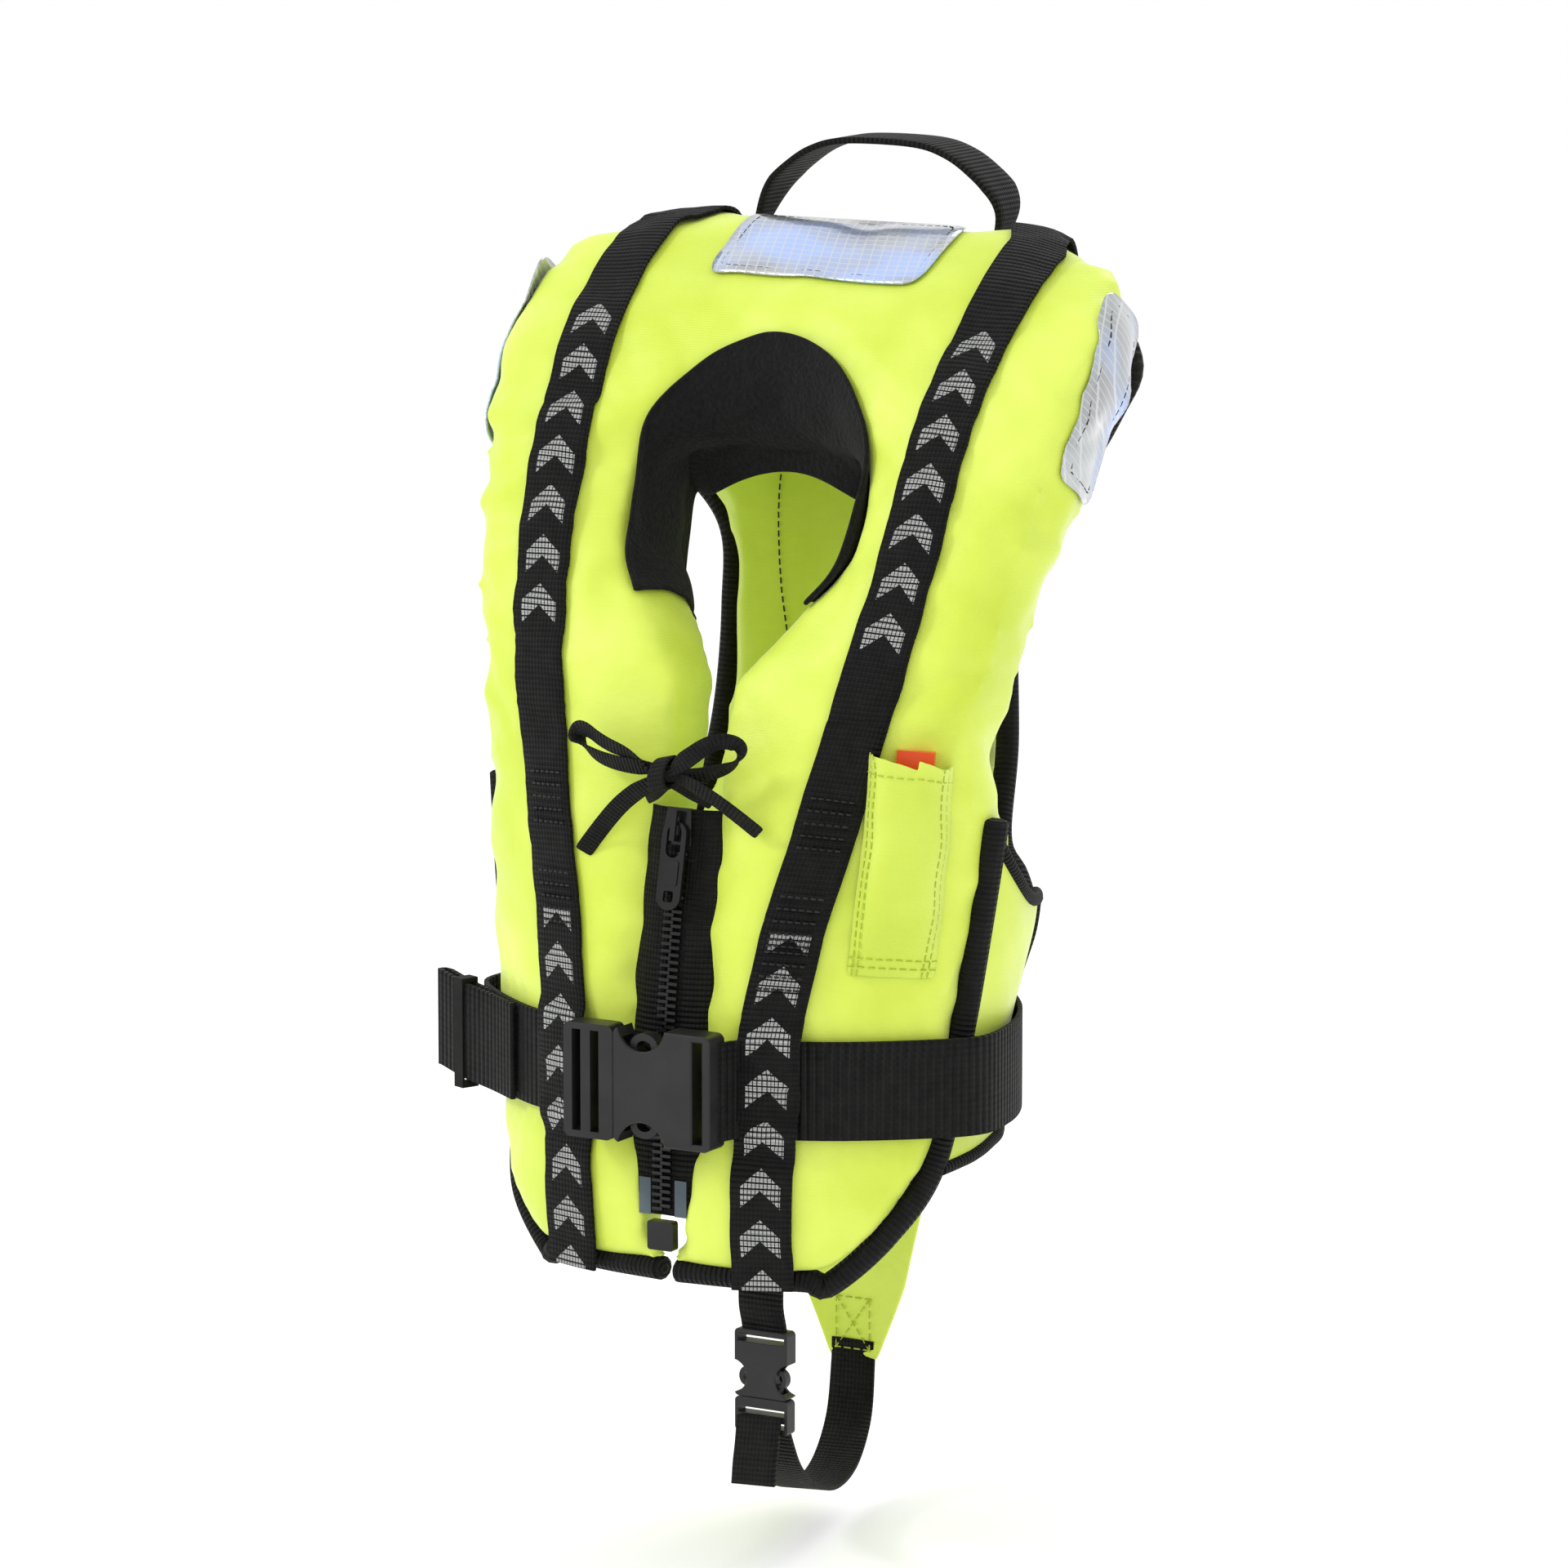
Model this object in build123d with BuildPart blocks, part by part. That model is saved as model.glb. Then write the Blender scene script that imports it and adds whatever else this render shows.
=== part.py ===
"""A child's foam-filled life jacket, fastened as it is worn.

Millimetres. +Z is up, -Y is the wearer's front, +X the wearer's left.
The origin is the centre of the neck opening at shoulder level.
"""
import os
from math import asin, cos, degrees, hypot, radians, sin

from build123d import *

os.makedirs("parts", exist_ok=True)

# ---------------------------------------------------------------- driving dimensions
CLOTH = 1.0              # coated nylon with its seam allowance
GAP = 0.5                # room between neighbouring layers
WEB = 1.6                # webbing thickness
STRAP_WIDTH = 25.0
BELT_WIDTH = 40.0
CROTCH_WIDTH = 20.0
BELT_Z = -255.0          # middle of the waist belt
HEM_Z = -337.0
V_TIP_Z = -113.0         # bottom of the neck opening's V
NECK_HALF = 52.0         # half-width of the neck opening
ZIP_HALF = 11.5          # half-width of the zip's channel between the fronts
FRONT_PROUD = 3.0        # the fronts stand this far in front of the zip tape
BINDING_RADIUS = 2.6

# ---------------------------------------------------------------- the zip's line
# Seen from the side the row of teeth is an arc from just under the V to above the hem.
ZIP_TOP_Y, ZIP_TOP_Z = -70.0, -146.0
ZIP_END_Y, ZIP_END_Z = -88.0, -316.0
ZIP_BOW = 5.0            # how far the arc stands in front of its chord
zip_chord = hypot(ZIP_END_Y - ZIP_TOP_Y, ZIP_END_Z - ZIP_TOP_Z)
zip_radius = (zip_chord**2 / 4 + ZIP_BOW**2) / (2 * ZIP_BOW)
chord_y = (ZIP_END_Y - ZIP_TOP_Y) / zip_chord
chord_z = (ZIP_END_Z - ZIP_TOP_Z) / zip_chord
zip_centre_y = (ZIP_TOP_Y + ZIP_END_Y) / 2 - chord_z * (zip_radius - ZIP_BOW)
zip_centre_z = (ZIP_TOP_Z + ZIP_END_Z) / 2 + chord_y * (zip_radius - ZIP_BOW)
zip_top_angle = degrees(asin((ZIP_TOP_Z - zip_centre_z) / zip_radius))


def zip_y(z):
    """Depth of the zip's arc at height z."""
    return zip_centre_y - (zip_radius**2 - (z - zip_centre_z) ** 2) ** 0.5


def zip_plane(down, proud=0.0):
    """Plane on the zip, a distance down from its top: x to the wearer's left, y up, z out."""
    angle = radians(zip_top_angle - degrees(down / zip_radius))
    reach = zip_radius + proud
    origin = (0, zip_centre_y - reach * cos(angle), zip_centre_z + reach * sin(angle))
    return Plane(origin=origin, x_dir=(1, 0, 0), z_dir=(0, -cos(angle), sin(angle)))


def front_station(z, tilt, half_width, droop, thickness):
    """A section of the fronts, a little proud of the zip."""
    return (zip_y(z) - FRONT_PROUD, z, tilt, half_width, droop, thickness)


# Sections of the vest's front from the hem to the back edge of the collar, and of the back panel.
# Each is (y, z, tilt of the outward direction above -Y, half-width, droop of its edges, thickness).
FRONT = [
    front_station(HEM_Z, 0, 66, 14, 10),
    front_station(-316, 0, 86, 26, 18),
    front_station(-288, 0, 98, 42, 26),
    front_station(-234, 2, 106, 46, 30),
    front_station(-192, 8, 112, 44, 31),
    front_station(-150, 14, 117, 40, 32),
    (-60, -92, 18, 121, 24, 36),
    (-41, -50, 24, 129, 14, 40),
    (-17, 1, 38, 137, 10, 44),
    (8, 34, 52, 139, 5, 44),
    (34, 51, 64, 140, 1, 42),
    (60, 65, 72, 133, -3, 40),
    (92, 80, 86, 84, -2, 32),
]
BACK = [
    (74, -302, 180, 68, 16, 12),
    (74, -255, 180, 75, 26, 18),
    (78, -203, 180, 93, 32, 18),
    (84, -172, 180, 70, 12, 18),
    (90, -137, 180, 67, 6, 18),
    (93, -90, 180, 65, 5, 18),
    (94, -52, 180, 69, 5, 18),
    (94, -18, 180, 101, 8, 18),
    (93, 6, 180, 117, 12, 16),
    (92, 22, 180, 126, 14, 12),
]


def station_plane(station):
    """Plane of a section: x to the wearer's left, y outward."""
    y, z, tilt = station[:3]
    out_y = -cos(radians(tilt))
    out_z = sin(radians(tilt))
    return Plane(origin=(0, y, z), x_dir=(1, 0, 0), z_dir=(0, -out_z, out_y))


def fall_at(station, x):
    """How far a section's outer arc has fallen behind its middle at x."""
    half_width, droop = station[3:5]
    bend = 2 * droop / (half_width**2 + droop**2) if droop else 0.0
    slope = asin(bend * x)
    return (1 - cos(slope)) / bend if bend else 0.0, slope


def layer(stations, depths, inset=0.0):
    """One layer of a panel, between two depths under its outer face.

    depths turns a section's thickness into the depths of the layer's outer and inner face.
    """
    with BuildPart() as panel:
        for station in stations:
            half_width = station[3] - inset
            droop = fall_at(station, half_width)[0]
            near, far = depths(station[5])
            with BuildSketch(station_plane(station)):
                with BuildLine():
                    ThreePointArc((-half_width, -droop - near), (0, -near), (half_width, -droop - near))
                    Line((half_width, -droop - near), (half_width, -droop - far))
                    ThreePointArc((half_width, -droop - far), (0, -far), (-half_width, -droop - far))
                    Line((-half_width, -droop - far), (-half_width, -droop - near))
                make_face()
        loft(ruled=True)
    return panel.part


def on_panel(station, x, lift):
    """Point and outward direction a distance above a panel's outer face, at x on one of its sections."""
    y, z, tilt = station[:3]
    fall, slope = fall_at(station, x)
    out_y = -cos(radians(tilt))
    out_z = sin(radians(tilt))
    normal = Vector(sin(slope), out_y * cos(slope), out_z * cos(slope))
    return Vector(x, y - out_y * fall, z - out_z * fall) + normal * lift, normal


def ribbon(points, normals, width, thickness):
    """A flat band through points, its face turned to the normals."""
    with BuildPart() as band:
        for index, point in enumerate(points):
            before = points[max(index - 1, 0)]
            after = points[min(index + 1, len(points) - 1)]
            along = (after - before).normalized()
            across = normals[index].cross(along).normalized()
            with BuildSketch(Plane(origin=point, x_dir=across, z_dir=along)):
                Rectangle(width, thickness)
        loft(ruled=True)
    return band.part


def cord_tube(points, radii, radius):
    """A round cord along straight runs joined by tangent arcs."""
    with BuildPart() as tube:
        with BuildLine() as route:
            FilletPolyline(*points, radius=radii)
        path = route.wires()[0]
        with BuildSketch(Plane(origin=path @ 0, z_dir=path % 0)):
            Circle(radius)
        sweep(path=path)
    return tube.part, path.length


def route_radii(points):
    """Bend radii of a cord's route: 0.45 of the shorter run over the tangent of half the turn."""
    radii = []
    for before, corner, after in zip(points, points[1:], points[2:]):
        first = Vector(*corner) - Vector(*before)
        second = Vector(*after) - Vector(*corner)
        half_turn = radians(first.get_angle(second)) / 2
        radii.append(0.45 * min(first.length, second.length) * cos(half_turn) / sin(half_turn))
    return radii


def write(name, part):
    """Label a finished piece and write it as its own node."""
    part.label = name
    export_step(part, f"parts/{name}.step")


# ---------------------------------------------------------------- neck opening and zip channel
with BuildPart() as opening:
    with BuildSketch(Plane.XY.offset(-50)):
        with BuildLine():
            ThreePointArc((-NECK_HALF, -20), (0, 8), (NECK_HALF, -20))
            Polyline((NECK_HALF, -20), (46, -70), (-46, -70), (-NECK_HALF, -20))
        make_face()
    extrude(amount=160)
    with BuildSketch(Plane.XZ.offset(-45)):
        Polygon((-NECK_HALF, -10), (-48, -52), (0, V_TIP_Z), (48, -52), (NECK_HALF, -10), align=None)
        Polygon(
            (-ZIP_HALF, -100), (-ZIP_HALF, -330), (-2, -332), (-2, -360),
            (2, -360), (2, -332), (ZIP_HALF, -330), (ZIP_HALF, -100), align=None,
        )
    extrude(amount=200)

# ---------------------------------------------------------------- vest front: shell, foam, lining
with BuildPart() as outer_shell:
    add(layer(FRONT, lambda thickness: (0, CLOTH)))
    add(opening.part, mode=Mode.SUBTRACT)

with BuildPart() as front_lining:
    add(layer(FRONT, lambda thickness: (thickness - CLOTH, thickness)))
    add(opening.part, mode=Mode.SUBTRACT)

FOAM_COVER = CLOTH + GAP
YOKE_SEAM_Z = -70.0
front_foam = layer(FRONT, lambda thickness: (FOAM_COVER, thickness - FOAM_COVER), inset=3)

with BuildPart() as foam_yoke:
    add(front_foam)
    add(opening.part, mode=Mode.SUBTRACT)
    split(bisect_by=Plane.XY.offset(YOKE_SEAM_Z + GAP), keep=Keep.TOP)

with BuildPart() as foam_front_left:
    add(front_foam)
    add(opening.part, mode=Mode.SUBTRACT)
    split(bisect_by=Plane.XY.offset(YOKE_SEAM_Z - GAP), keep=Keep.BOTTOM)
    split(bisect_by=Plane.YZ, keep=Keep.TOP)

with BuildPart() as foam_front_right:
    add(foam_front_left.part)
    mirror(about=Plane.YZ, mode=Mode.REPLACE)

# Fleece lining of the neck opening: a soft roll inside its wall, down to the top of the V.
ROLL = 11.0                  # how far the roll stands into the opening
FLEECE_END_Y = -40.0
outside = NECK_HALF - GAP
with BuildPart() as neck_fleece:
    with BuildSketch(Plane.XY.offset(-49)):
        with BuildLine():
            ThreePointArc((-outside, -20), (0, 8 - GAP), (outside, -20))
            Line((outside, -20), (outside - 3, FLEECE_END_Y))
            Line((outside - 3, FLEECE_END_Y), (outside - ROLL, FLEECE_END_Y))
            Line((outside - ROLL, FLEECE_END_Y), (outside - ROLL, -20))
            ThreePointArc((outside - ROLL, -20), (0, 8 - GAP - ROLL), (ROLL - outside, -20))
            Line((ROLL - outside, -20), (ROLL - outside, FLEECE_END_Y))
            Line((ROLL - outside, FLEECE_END_Y), (3 - outside, FLEECE_END_Y))
            Line((3 - outside, FLEECE_END_Y), (-outside, -20))
        make_face()
    extrude(amount=100)
    add(layer(FRONT, lambda thickness: (0, thickness)), mode=Mode.INTERSECT)

# ---------------------------------------------------------------- back panel: shell, foam, lining
with BuildPart() as back_shell:
    add(layer(BACK, lambda thickness: (0, CLOTH)))

with BuildPart() as foam_back:
    add(layer(BACK, lambda thickness: (FOAM_COVER, thickness - FOAM_COVER), inset=3))

with BuildPart() as back_lining:
    add(layer(BACK, lambda thickness: (thickness - CLOTH, thickness)))

# Crotch flap: the tapered tongue that hangs from the back panel.
FLAP_Y = 67.0
with BuildPart() as crotch_flap:
    with BuildSketch(Plane.XZ.offset(-FLAP_Y)):
        Polygon(
            (-40, -304), (-34, -335), (-25, -371), (-11, -404),
            (11, -404), (25, -371), (34, -335), (40, -304), align=None,
        )
    extrude(amount=2.4)

for piece, name in (
    (outer_shell, "outer_shell"), (front_lining, "front_lining"), (foam_yoke, "foam_yoke"),
    (foam_front_left, "foam_front_left"), (foam_front_right, "foam_front_right"),
    (neck_fleece, "neck_fleece"), (back_shell, "back_shell"), (foam_back, "foam_back"),
    (back_lining, "back_lining"), (crotch_flap, "crotch_flap"),
):
    write(name, piece.part)

# ---------------------------------------------------------------- side gussets
# Each closes the side between a front and the back panel: (z, front x, front y, side x, back x, back y).
GUSSET = [(-197, 114.5, -19, 112.5, 97.5, 46), (-240, 109.5, -20, 104.5, 83, 46), (-287, 103, -28, 96, 76, 49)]
with BuildPart() as gusset_left:
    for z, front_x, front_y, side_x, back_x, back_y in GUSSET:
        with BuildSketch(Plane.XY.offset(z)):
            with BuildLine():
                ThreePointArc((front_x, front_y), (side_x, 8), (back_x, back_y))
                Line((back_x, back_y), (back_x - CLOTH, back_y))
                ThreePointArc((back_x - CLOTH, back_y), (side_x - CLOTH, 8), (front_x - CLOTH, front_y))
                Line((front_x - CLOTH, front_y), (front_x, front_y))
            make_face()
    loft(ruled=True)

with BuildPart() as gusset_right:
    add(gusset_left.part)
    mirror(about=Plane.YZ, mode=Mode.REPLACE)

write("gusset_left", gusset_left.part)
write("gusset_right", gusset_right.part)


# ---------------------------------------------------------------- bindings
def edge_point(station, beyond):
    """Middle of a panel's edge, a distance beyond it."""
    y, z, tilt, half_width, droop, thickness = station
    inward = droop + thickness / 2
    out_y = -cos(radians(tilt))
    out_z = sin(radians(tilt))
    return (half_width + beyond, y - out_y * inward, z - out_z * inward)


def bound_edge(points):
    """A folded tape along an edge, as a square rod over its points."""
    places = [Vector(*point) for point in points]
    size = 2 * BINDING_RADIUS
    return ribbon(places, [Vector(0, -1, 0)] * len(places), size, size)


hem_y = FRONT[0][0] + FRONT[0][5] / 2
BINDING_ROOM = BINDING_RADIUS + GAP
front_edge = [(x, hem_y + fall_at(FRONT[0], x)[0], HEM_Z - BINDING_ROOM) for x in (5, 33, 64)]
front_edge += [edge_point(station, BINDING_ROOM + 2.5) for station in FRONT[1:6]]
back_edge = [edge_point(station, BINDING_ROOM) for station in BACK[3:-1]]

for side, sign in (("left", 1), ("right", -1)):
    with BuildPart() as front_binding:
        add(bound_edge([(sign * x, y, z) for x, y, z in front_edge]))
    write(f"front_binding_{side}", front_binding.part)
    with BuildPart() as armhole_binding:
        add(bound_edge([(sign * x, y, z) for x, y, z in back_edge]))
    write(f"armhole_binding_{side}", armhole_binding.part)

# ---------------------------------------------------------------- vertical straps
STRAP_LIFT = 2.0 + WEB / 2         # middle of a strap above the shell
BELT_LIFT = 9.0                    # the same where the strap passes over the waist belt
STRAP_X = [44, 44, 45, 47, 54, 64, 77, 84, 87, 89, 91, 93]
strap_points = []
strap_normals = []
for station, x in zip(FRONT, STRAP_X):
    point, normal = on_panel(station, x, STRAP_LIFT)
    strap_points.append(point)
    strap_normals.append(normal)
for z, x in ((BELT_Z + 30, 48), (BELT_Z + 22, 47.5), (BELT_Z - 22, 46.5), (BELT_Z - 30, 46)):
    section = front_station(z, 1, 102, 45, 30)
    raised = BELT_LIFT if abs(z - BELT_Z) < 25 else STRAP_LIFT
    point, normal = on_panel(section, x, raised)
    order = sum(1 for other in strap_points if other.Z < z)
    strap_points.insert(order, point)
    strap_normals.insert(order, normal)
# The station at z -234 lies where the strap is already raised, so it is lifted too.
raised_index = min(range(len(strap_points)), key=lambda index: abs(strap_points[index].Z + 234))
strap_points[raised_index] += strap_normals[raised_index] * (BELT_LIFT - STRAP_LIFT)

# Behind the shoulder each strap runs down the back panel to the belt.
BACK_STRAP_X = 50.0
back_strap = [on_panel(station, BACK_STRAP_X, STRAP_LIFT) for station in BACK[2:]]

for side, sign in (("left", 1), ("right", -1)):
    flip = [Vector(sign * point.X, point.Y, point.Z) for point in strap_points]
    flip_normals = [Vector(sign * normal.X, normal.Y, normal.Z) for normal in strap_normals]
    with BuildPart() as strap:
        add(ribbon(flip, flip_normals, STRAP_WIDTH, WEB))
    write(f"strap_{side}", strap.part)
    rear = [Vector(sign * point.X, point.Y, point.Z) for point, normal in back_strap]
    rear_normals = [Vector(sign * normal.X, normal.Y, normal.Z) for point, normal in back_strap]
    with BuildPart() as rear_strap:
        add(ribbon(rear, rear_normals, STRAP_WIDTH, WEB))
    write(f"rear_strap_{side}", rear_strap.part)


# ---------------------------------------------------------------- waist belt
BUCKLE_Y = -102.0
BELT_SIDE = [(98.5, -55.5), (116, -36), (115.5, -12), (108, 12), (94.5, 36), (75.5, 58), (46, 75.5)]
BELT_FRONT = [(34.6, -94), (39, -87), (48, -85.6), (72, -75)]
belt_round = BELT_FRONT + BELT_SIDE + [(0, 82)]
belt_round += [(-x, y) for x, y in reversed(BELT_SIDE)]


def wall(points, z, width, thickness):
    """Webbing standing on edge along a route seen from above."""
    places = [Vector(x, y) for x, y in points]
    outer = []
    inner = []
    for index, place in enumerate(places):
        before = places[max(index - 1, 0)]
        after = places[min(index + 1, len(places) - 1)]
        side = (after - before).normalized().cross(Vector(0, 0, 1)) * (thickness / 2)
        outer.append(place + side)
        inner.append(place - side)
    with BuildPart() as band:
        with BuildSketch(Plane.XY.offset(z - width / 2)):
            Polygon(*[(place.X, place.Y) for place in outer + inner[::-1]], align=None)
        extrude(amount=width)
    return band.part


with BuildPart() as belt:
    add(wall(belt_round[:-1], BELT_Z, BELT_WIDTH, WEB))

with BuildPart() as belt_front_run:
    run = [(-x, y) for x, y in BELT_FRONT] + [(-91, -59.5)]
    add(wall(run, BELT_Z, BELT_WIDTH, WEB))

TAIL_THICKNESS = 4.0
with BuildPart() as belt_tail:
    add(wall([(-98, -60.5), (-112, -52), (-124, -47), (-135, -40)], BELT_Z, BELT_WIDTH, TAIL_THICKNESS))

with BuildPart() as belt_keeper:
    middle = Plane(origin=(-118, -49.4, BELT_Z), x_dir=Vector(-12, 5, 0), z_dir=(0, 0, 1))
    with BuildSketch(middle):
        Rectangle(6, TAIL_THICKNESS + 4)
    extrude(amount=BELT_WIDTH / 2 + 3, both=True)
    with BuildSketch(middle):
        Rectangle(8, TAIL_THICKNESS + 2)
    extrude(amount=BELT_WIDTH / 2 + 1, both=True, mode=Mode.SUBTRACT)

write("belt", belt.part)
write("belt_front_run", belt_front_run.part)
write("belt_tail", belt_tail.part)
write("belt_keeper", belt_keeper.part)


# ---------------------------------------------------------------- side-release buckles
def buckle(place, width, scale, names):
    """A side-release buckle on a plane: the male half leaves along +x, webbing runs across y."""
    half = width / 2 + 3.5 * scale
    thick = 12 * scale
    body_end = 16 * scale
    window_x = 3 * scale
    loop_end = -29 * scale
    arm_out = 11 * scale
    female_name, male_name, upper_name, lower_name = names

    with BuildPart() as female:
        with BuildSketch(place.offset(-thick / 2)):
            with Locations(((loop_end + body_end) / 2, 0)):
                RectangleRounded(body_end - loop_end, 2 * half, 3 * scale)
            with Locations((window_x, half + 2 * scale), (window_x, -half - 2 * scale)):
                Circle(11 * scale, mode=Mode.SUBTRACT)
            with Locations((loop_end + 6 * scale, 0)):
                Rectangle(4.5 * scale, width + 1.5, mode=Mode.SUBTRACT)
        extrude(amount=thick)
        chamfer(female.faces().sort_by(Axis(place.origin, place.z_dir))[-1].edges(), 0.6 * scale)
        with BuildSketch(place.offset(-thick / 2 + 2 * scale)):
            with Locations((window_x, 0)):
                Rectangle(2 * body_end + 1, 2 * half - 8 * scale)
        extrude(amount=thick - 4 * scale, mode=Mode.SUBTRACT)

    with BuildPart() as male:
        with BuildSketch(place.offset(-thick / 2 + 1 * scale)):
            with Locations((28 * scale, 0)):
                RectangleRounded(23 * scale, 2 * half, 3 * scale)
            with Locations((25 * scale, 0), (33.5 * scale, 0)):
                Rectangle(4 * scale, width + 1.5, mode=Mode.SUBTRACT)
        extrude(amount=thick - 2 * scale)
        with BuildSketch(place.offset(-2.5 * scale)):
            with Locations((5 * scale, 0)):
                Rectangle(26 * scale, 7 * scale)
        extrude(amount=5 * scale)

    with BuildPart() as upper_latch:
        with BuildSketch(place.offset(-3 * scale)):
            with Locations((7 * scale, arm_out)):
                Rectangle(17 * scale, 3.2 * scale)
            with Locations((window_x, half - 7.5 * scale)):
                Ellipse(6.5 * scale, 5.5 * scale)
                Ellipse(3.4 * scale, 2.6 * scale, mode=Mode.SUBTRACT)
        extrude(amount=6 * scale)

    with BuildPart() as lower_latch:
        add(upper_latch.part)
        mirror(about=Plane(origin=place.origin, z_dir=place.y_dir), mode=Mode.REPLACE)

    for piece, name in ((female, female_name), (male, male_name), (upper_latch, upper_name), (lower_latch, lower_name)):
        write(name, piece.part)


belt_place = Plane(origin=(4, BUCKLE_Y, BELT_Z), x_dir=(-1, 0, 0), z_dir=(0, -1, 0))
buckle(belt_place, BELT_WIDTH, 1.0, ("belt_buckle_female", "belt_buckle_male", "belt_latch_lower", "belt_latch_upper"))

CROTCH_SCALE = 0.62
CROTCH_X, CROTCH_Y = 40.0, -76.0
CROTCH_BUCKLE_Z = -374.0
crotch_place = Plane(origin=(CROTCH_X, CROTCH_Y, CROTCH_BUCKLE_Z), x_dir=(0, 0, -1), z_dir=(0, -1, 0))
buckle(crotch_place, CROTCH_WIDTH, CROTCH_SCALE,
       ("crotch_buckle_female", "crotch_buckle_male", "crotch_latch_left", "crotch_latch_right"))

# ---------------------------------------------------------------- crotch webbing
front_normal = Vector(0, -1, 0)
with BuildPart() as crotch_tab:
    tab = [Vector(CROTCH_X, -76, -343.5), Vector(CROTCH_X, -76, -354.8)]
    add(ribbon(tab, [front_normal] * 2, CROTCH_WIDTH, WEB))

# From the ladder lock the strap hangs back and up to the tip of the flap.
strap_route = [
    Vector(39, -72.5, -401), Vector(36, -58, -417), Vector(29, -32, -432), Vector(20, 0, -441),
    Vector(11, 32, -440), Vector(4, 56, -427), Vector(0, 66.5, -407),
]
with BuildPart() as crotch_strap:
    normals = []
    for index, place in enumerate(strap_route):
        before = strap_route[max(index - 1, 0)]
        after = strap_route[min(index + 1, len(strap_route) - 1)]
        normals.append((after - before).cross(Vector(1, 0.2, 0)).normalized())
    add(ribbon(strap_route, normals, CROTCH_WIDTH, WEB))

with BuildPart() as crotch_tail:
    tail = [Vector(CROTCH_X, -80.6, -392), Vector(CROTCH_X - 1, -81, -408), Vector(CROTCH_X - 3, -80, -420)]
    add(ribbon(tail, [front_normal] * 3, CROTCH_WIDTH, WEB))

write("crotch_tab", crotch_tab.part)
write("crotch_strap", crotch_strap.part)
write("crotch_tail", crotch_tail.part)

# ---------------------------------------------------------------- zip
TOOTH_PITCH = 2.9
TOOTH_COUNT = 50
TOOTH_START = 20.0           # first tooth below the top of the tape
TAPE_LENGTH = 168.0
TAPE_STEPS = 8
for side, sign in (("left", 1), ("right", -1)):
    edge = 0.4
    middle_x = sign * (edge + (ZIP_HALF - GAP - edge) / 2)
    with BuildPart() as tape:
        for step in range(TAPE_STEPS + 1):
            plane = zip_plane(step * TAPE_LENGTH / TAPE_STEPS)
            with BuildSketch(Plane(origin=plane.origin, x_dir=plane.x_dir, z_dir=plane.y_dir)):
                with Locations((middle_x, 0)):
                    Rectangle(ZIP_HALF - GAP - edge, 0.8)
        loft(ruled=True)
    write(f"zip_tape_{side}", tape.part)

    # The teeth of one row stand half a pitch below the other's.
    with BuildPart() as teeth:
        for number in range(TOOTH_COUNT):
            down = TOOTH_START + TOOTH_PITCH * (number + (0.5 if sign < 0 else 0))
            with BuildSketch(zip_plane(down, 0.6)):
                with Locations((sign * 1.9, 0)):
                    RectangleRounded(4.8, 1.3, 0.4)
            extrude(amount=1.7)
    write(f"zip_teeth_{side}", teeth.part)

SLIDER_DOWN = 9.0            # middle of the slider below the top of the tape
SLIDER_LENGTH = 15.0
PLATE_TOP = 4.6              # heights above the tape: the slider's plate, the bridge's bar, the pull
PLATE_THICKNESS = 1.8
BRIDGE_BAR = 7.2
BRIDGE_WIDTH = 2.4
PULL_HEIGHT = 5.8
with BuildPart() as zip_slider:
    with BuildSketch(zip_plane(SLIDER_DOWN, PLATE_TOP - PLATE_THICKNESS)):
        Trapezoid(14, SLIDER_LENGTH, 84)
    extrude(amount=PLATE_THICKNESS)
    # The bridge that holds the pull stands on the plate's middle line.
    with BuildSketch(zip_plane(SLIDER_DOWN, PLATE_TOP)):
        with Locations((0, 5.0), (0, -5.0)):
            Rectangle(BRIDGE_WIDTH, 2.4)
    extrude(amount=BRIDGE_BAR - PLATE_TOP + GAP)
    with BuildSketch(zip_plane(SLIDER_DOWN, BRIDGE_BAR)):
        Rectangle(BRIDGE_WIDTH, 12.4)
    extrude(amount=1.4)

PULL_THICKNESS = 1.6
with BuildPart() as zip_pull:
    with BuildSketch(zip_plane(SLIDER_DOWN, PULL_HEIGHT - PULL_THICKNESS / 2)):
        with Locations((0, -16)):
            SlotOverall(36, 11, rotation=90)
        with Locations((0, -6.2)):
            SlotOverall(13.4, 6.6, rotation=90, mode=Mode.SUBTRACT)
        with Locations((0, -28.5)):
            RectangleRounded(4.5, 4.5, 1, mode=Mode.SUBTRACT)
    extrude(amount=1.6)
    with BuildSketch(zip_plane(SLIDER_DOWN, PULL_HEIGHT + PULL_THICKNESS / 2)):
        with Locations((0, -19)):
            RectangleRounded(7, 10, 1)
    extrude(amount=0.5)

BOX_DOWN = TAPE_LENGTH + 0.5
with BuildPart() as zip_box:
    with BuildSketch(zip_plane(BOX_DOWN + 6, -1.0)):
        RectangleRounded(12, 12, 1.2)
    extrude(amount=4.2)

with BuildPart() as zip_film:
    with BuildSketch(zip_plane(TAPE_LENGTH - 9, 0.6)):
        with Locations((8.3, 0), (-8.3, 0)):
            Rectangle(5.4, 15)
    extrude(amount=0.4)

for piece, name in (
    (zip_slider, "zip_slider"), (zip_pull, "zip_pull"), (zip_box, "zip_box"), (zip_film, "zip_film"),
):
    write(name, piece.part)

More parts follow.
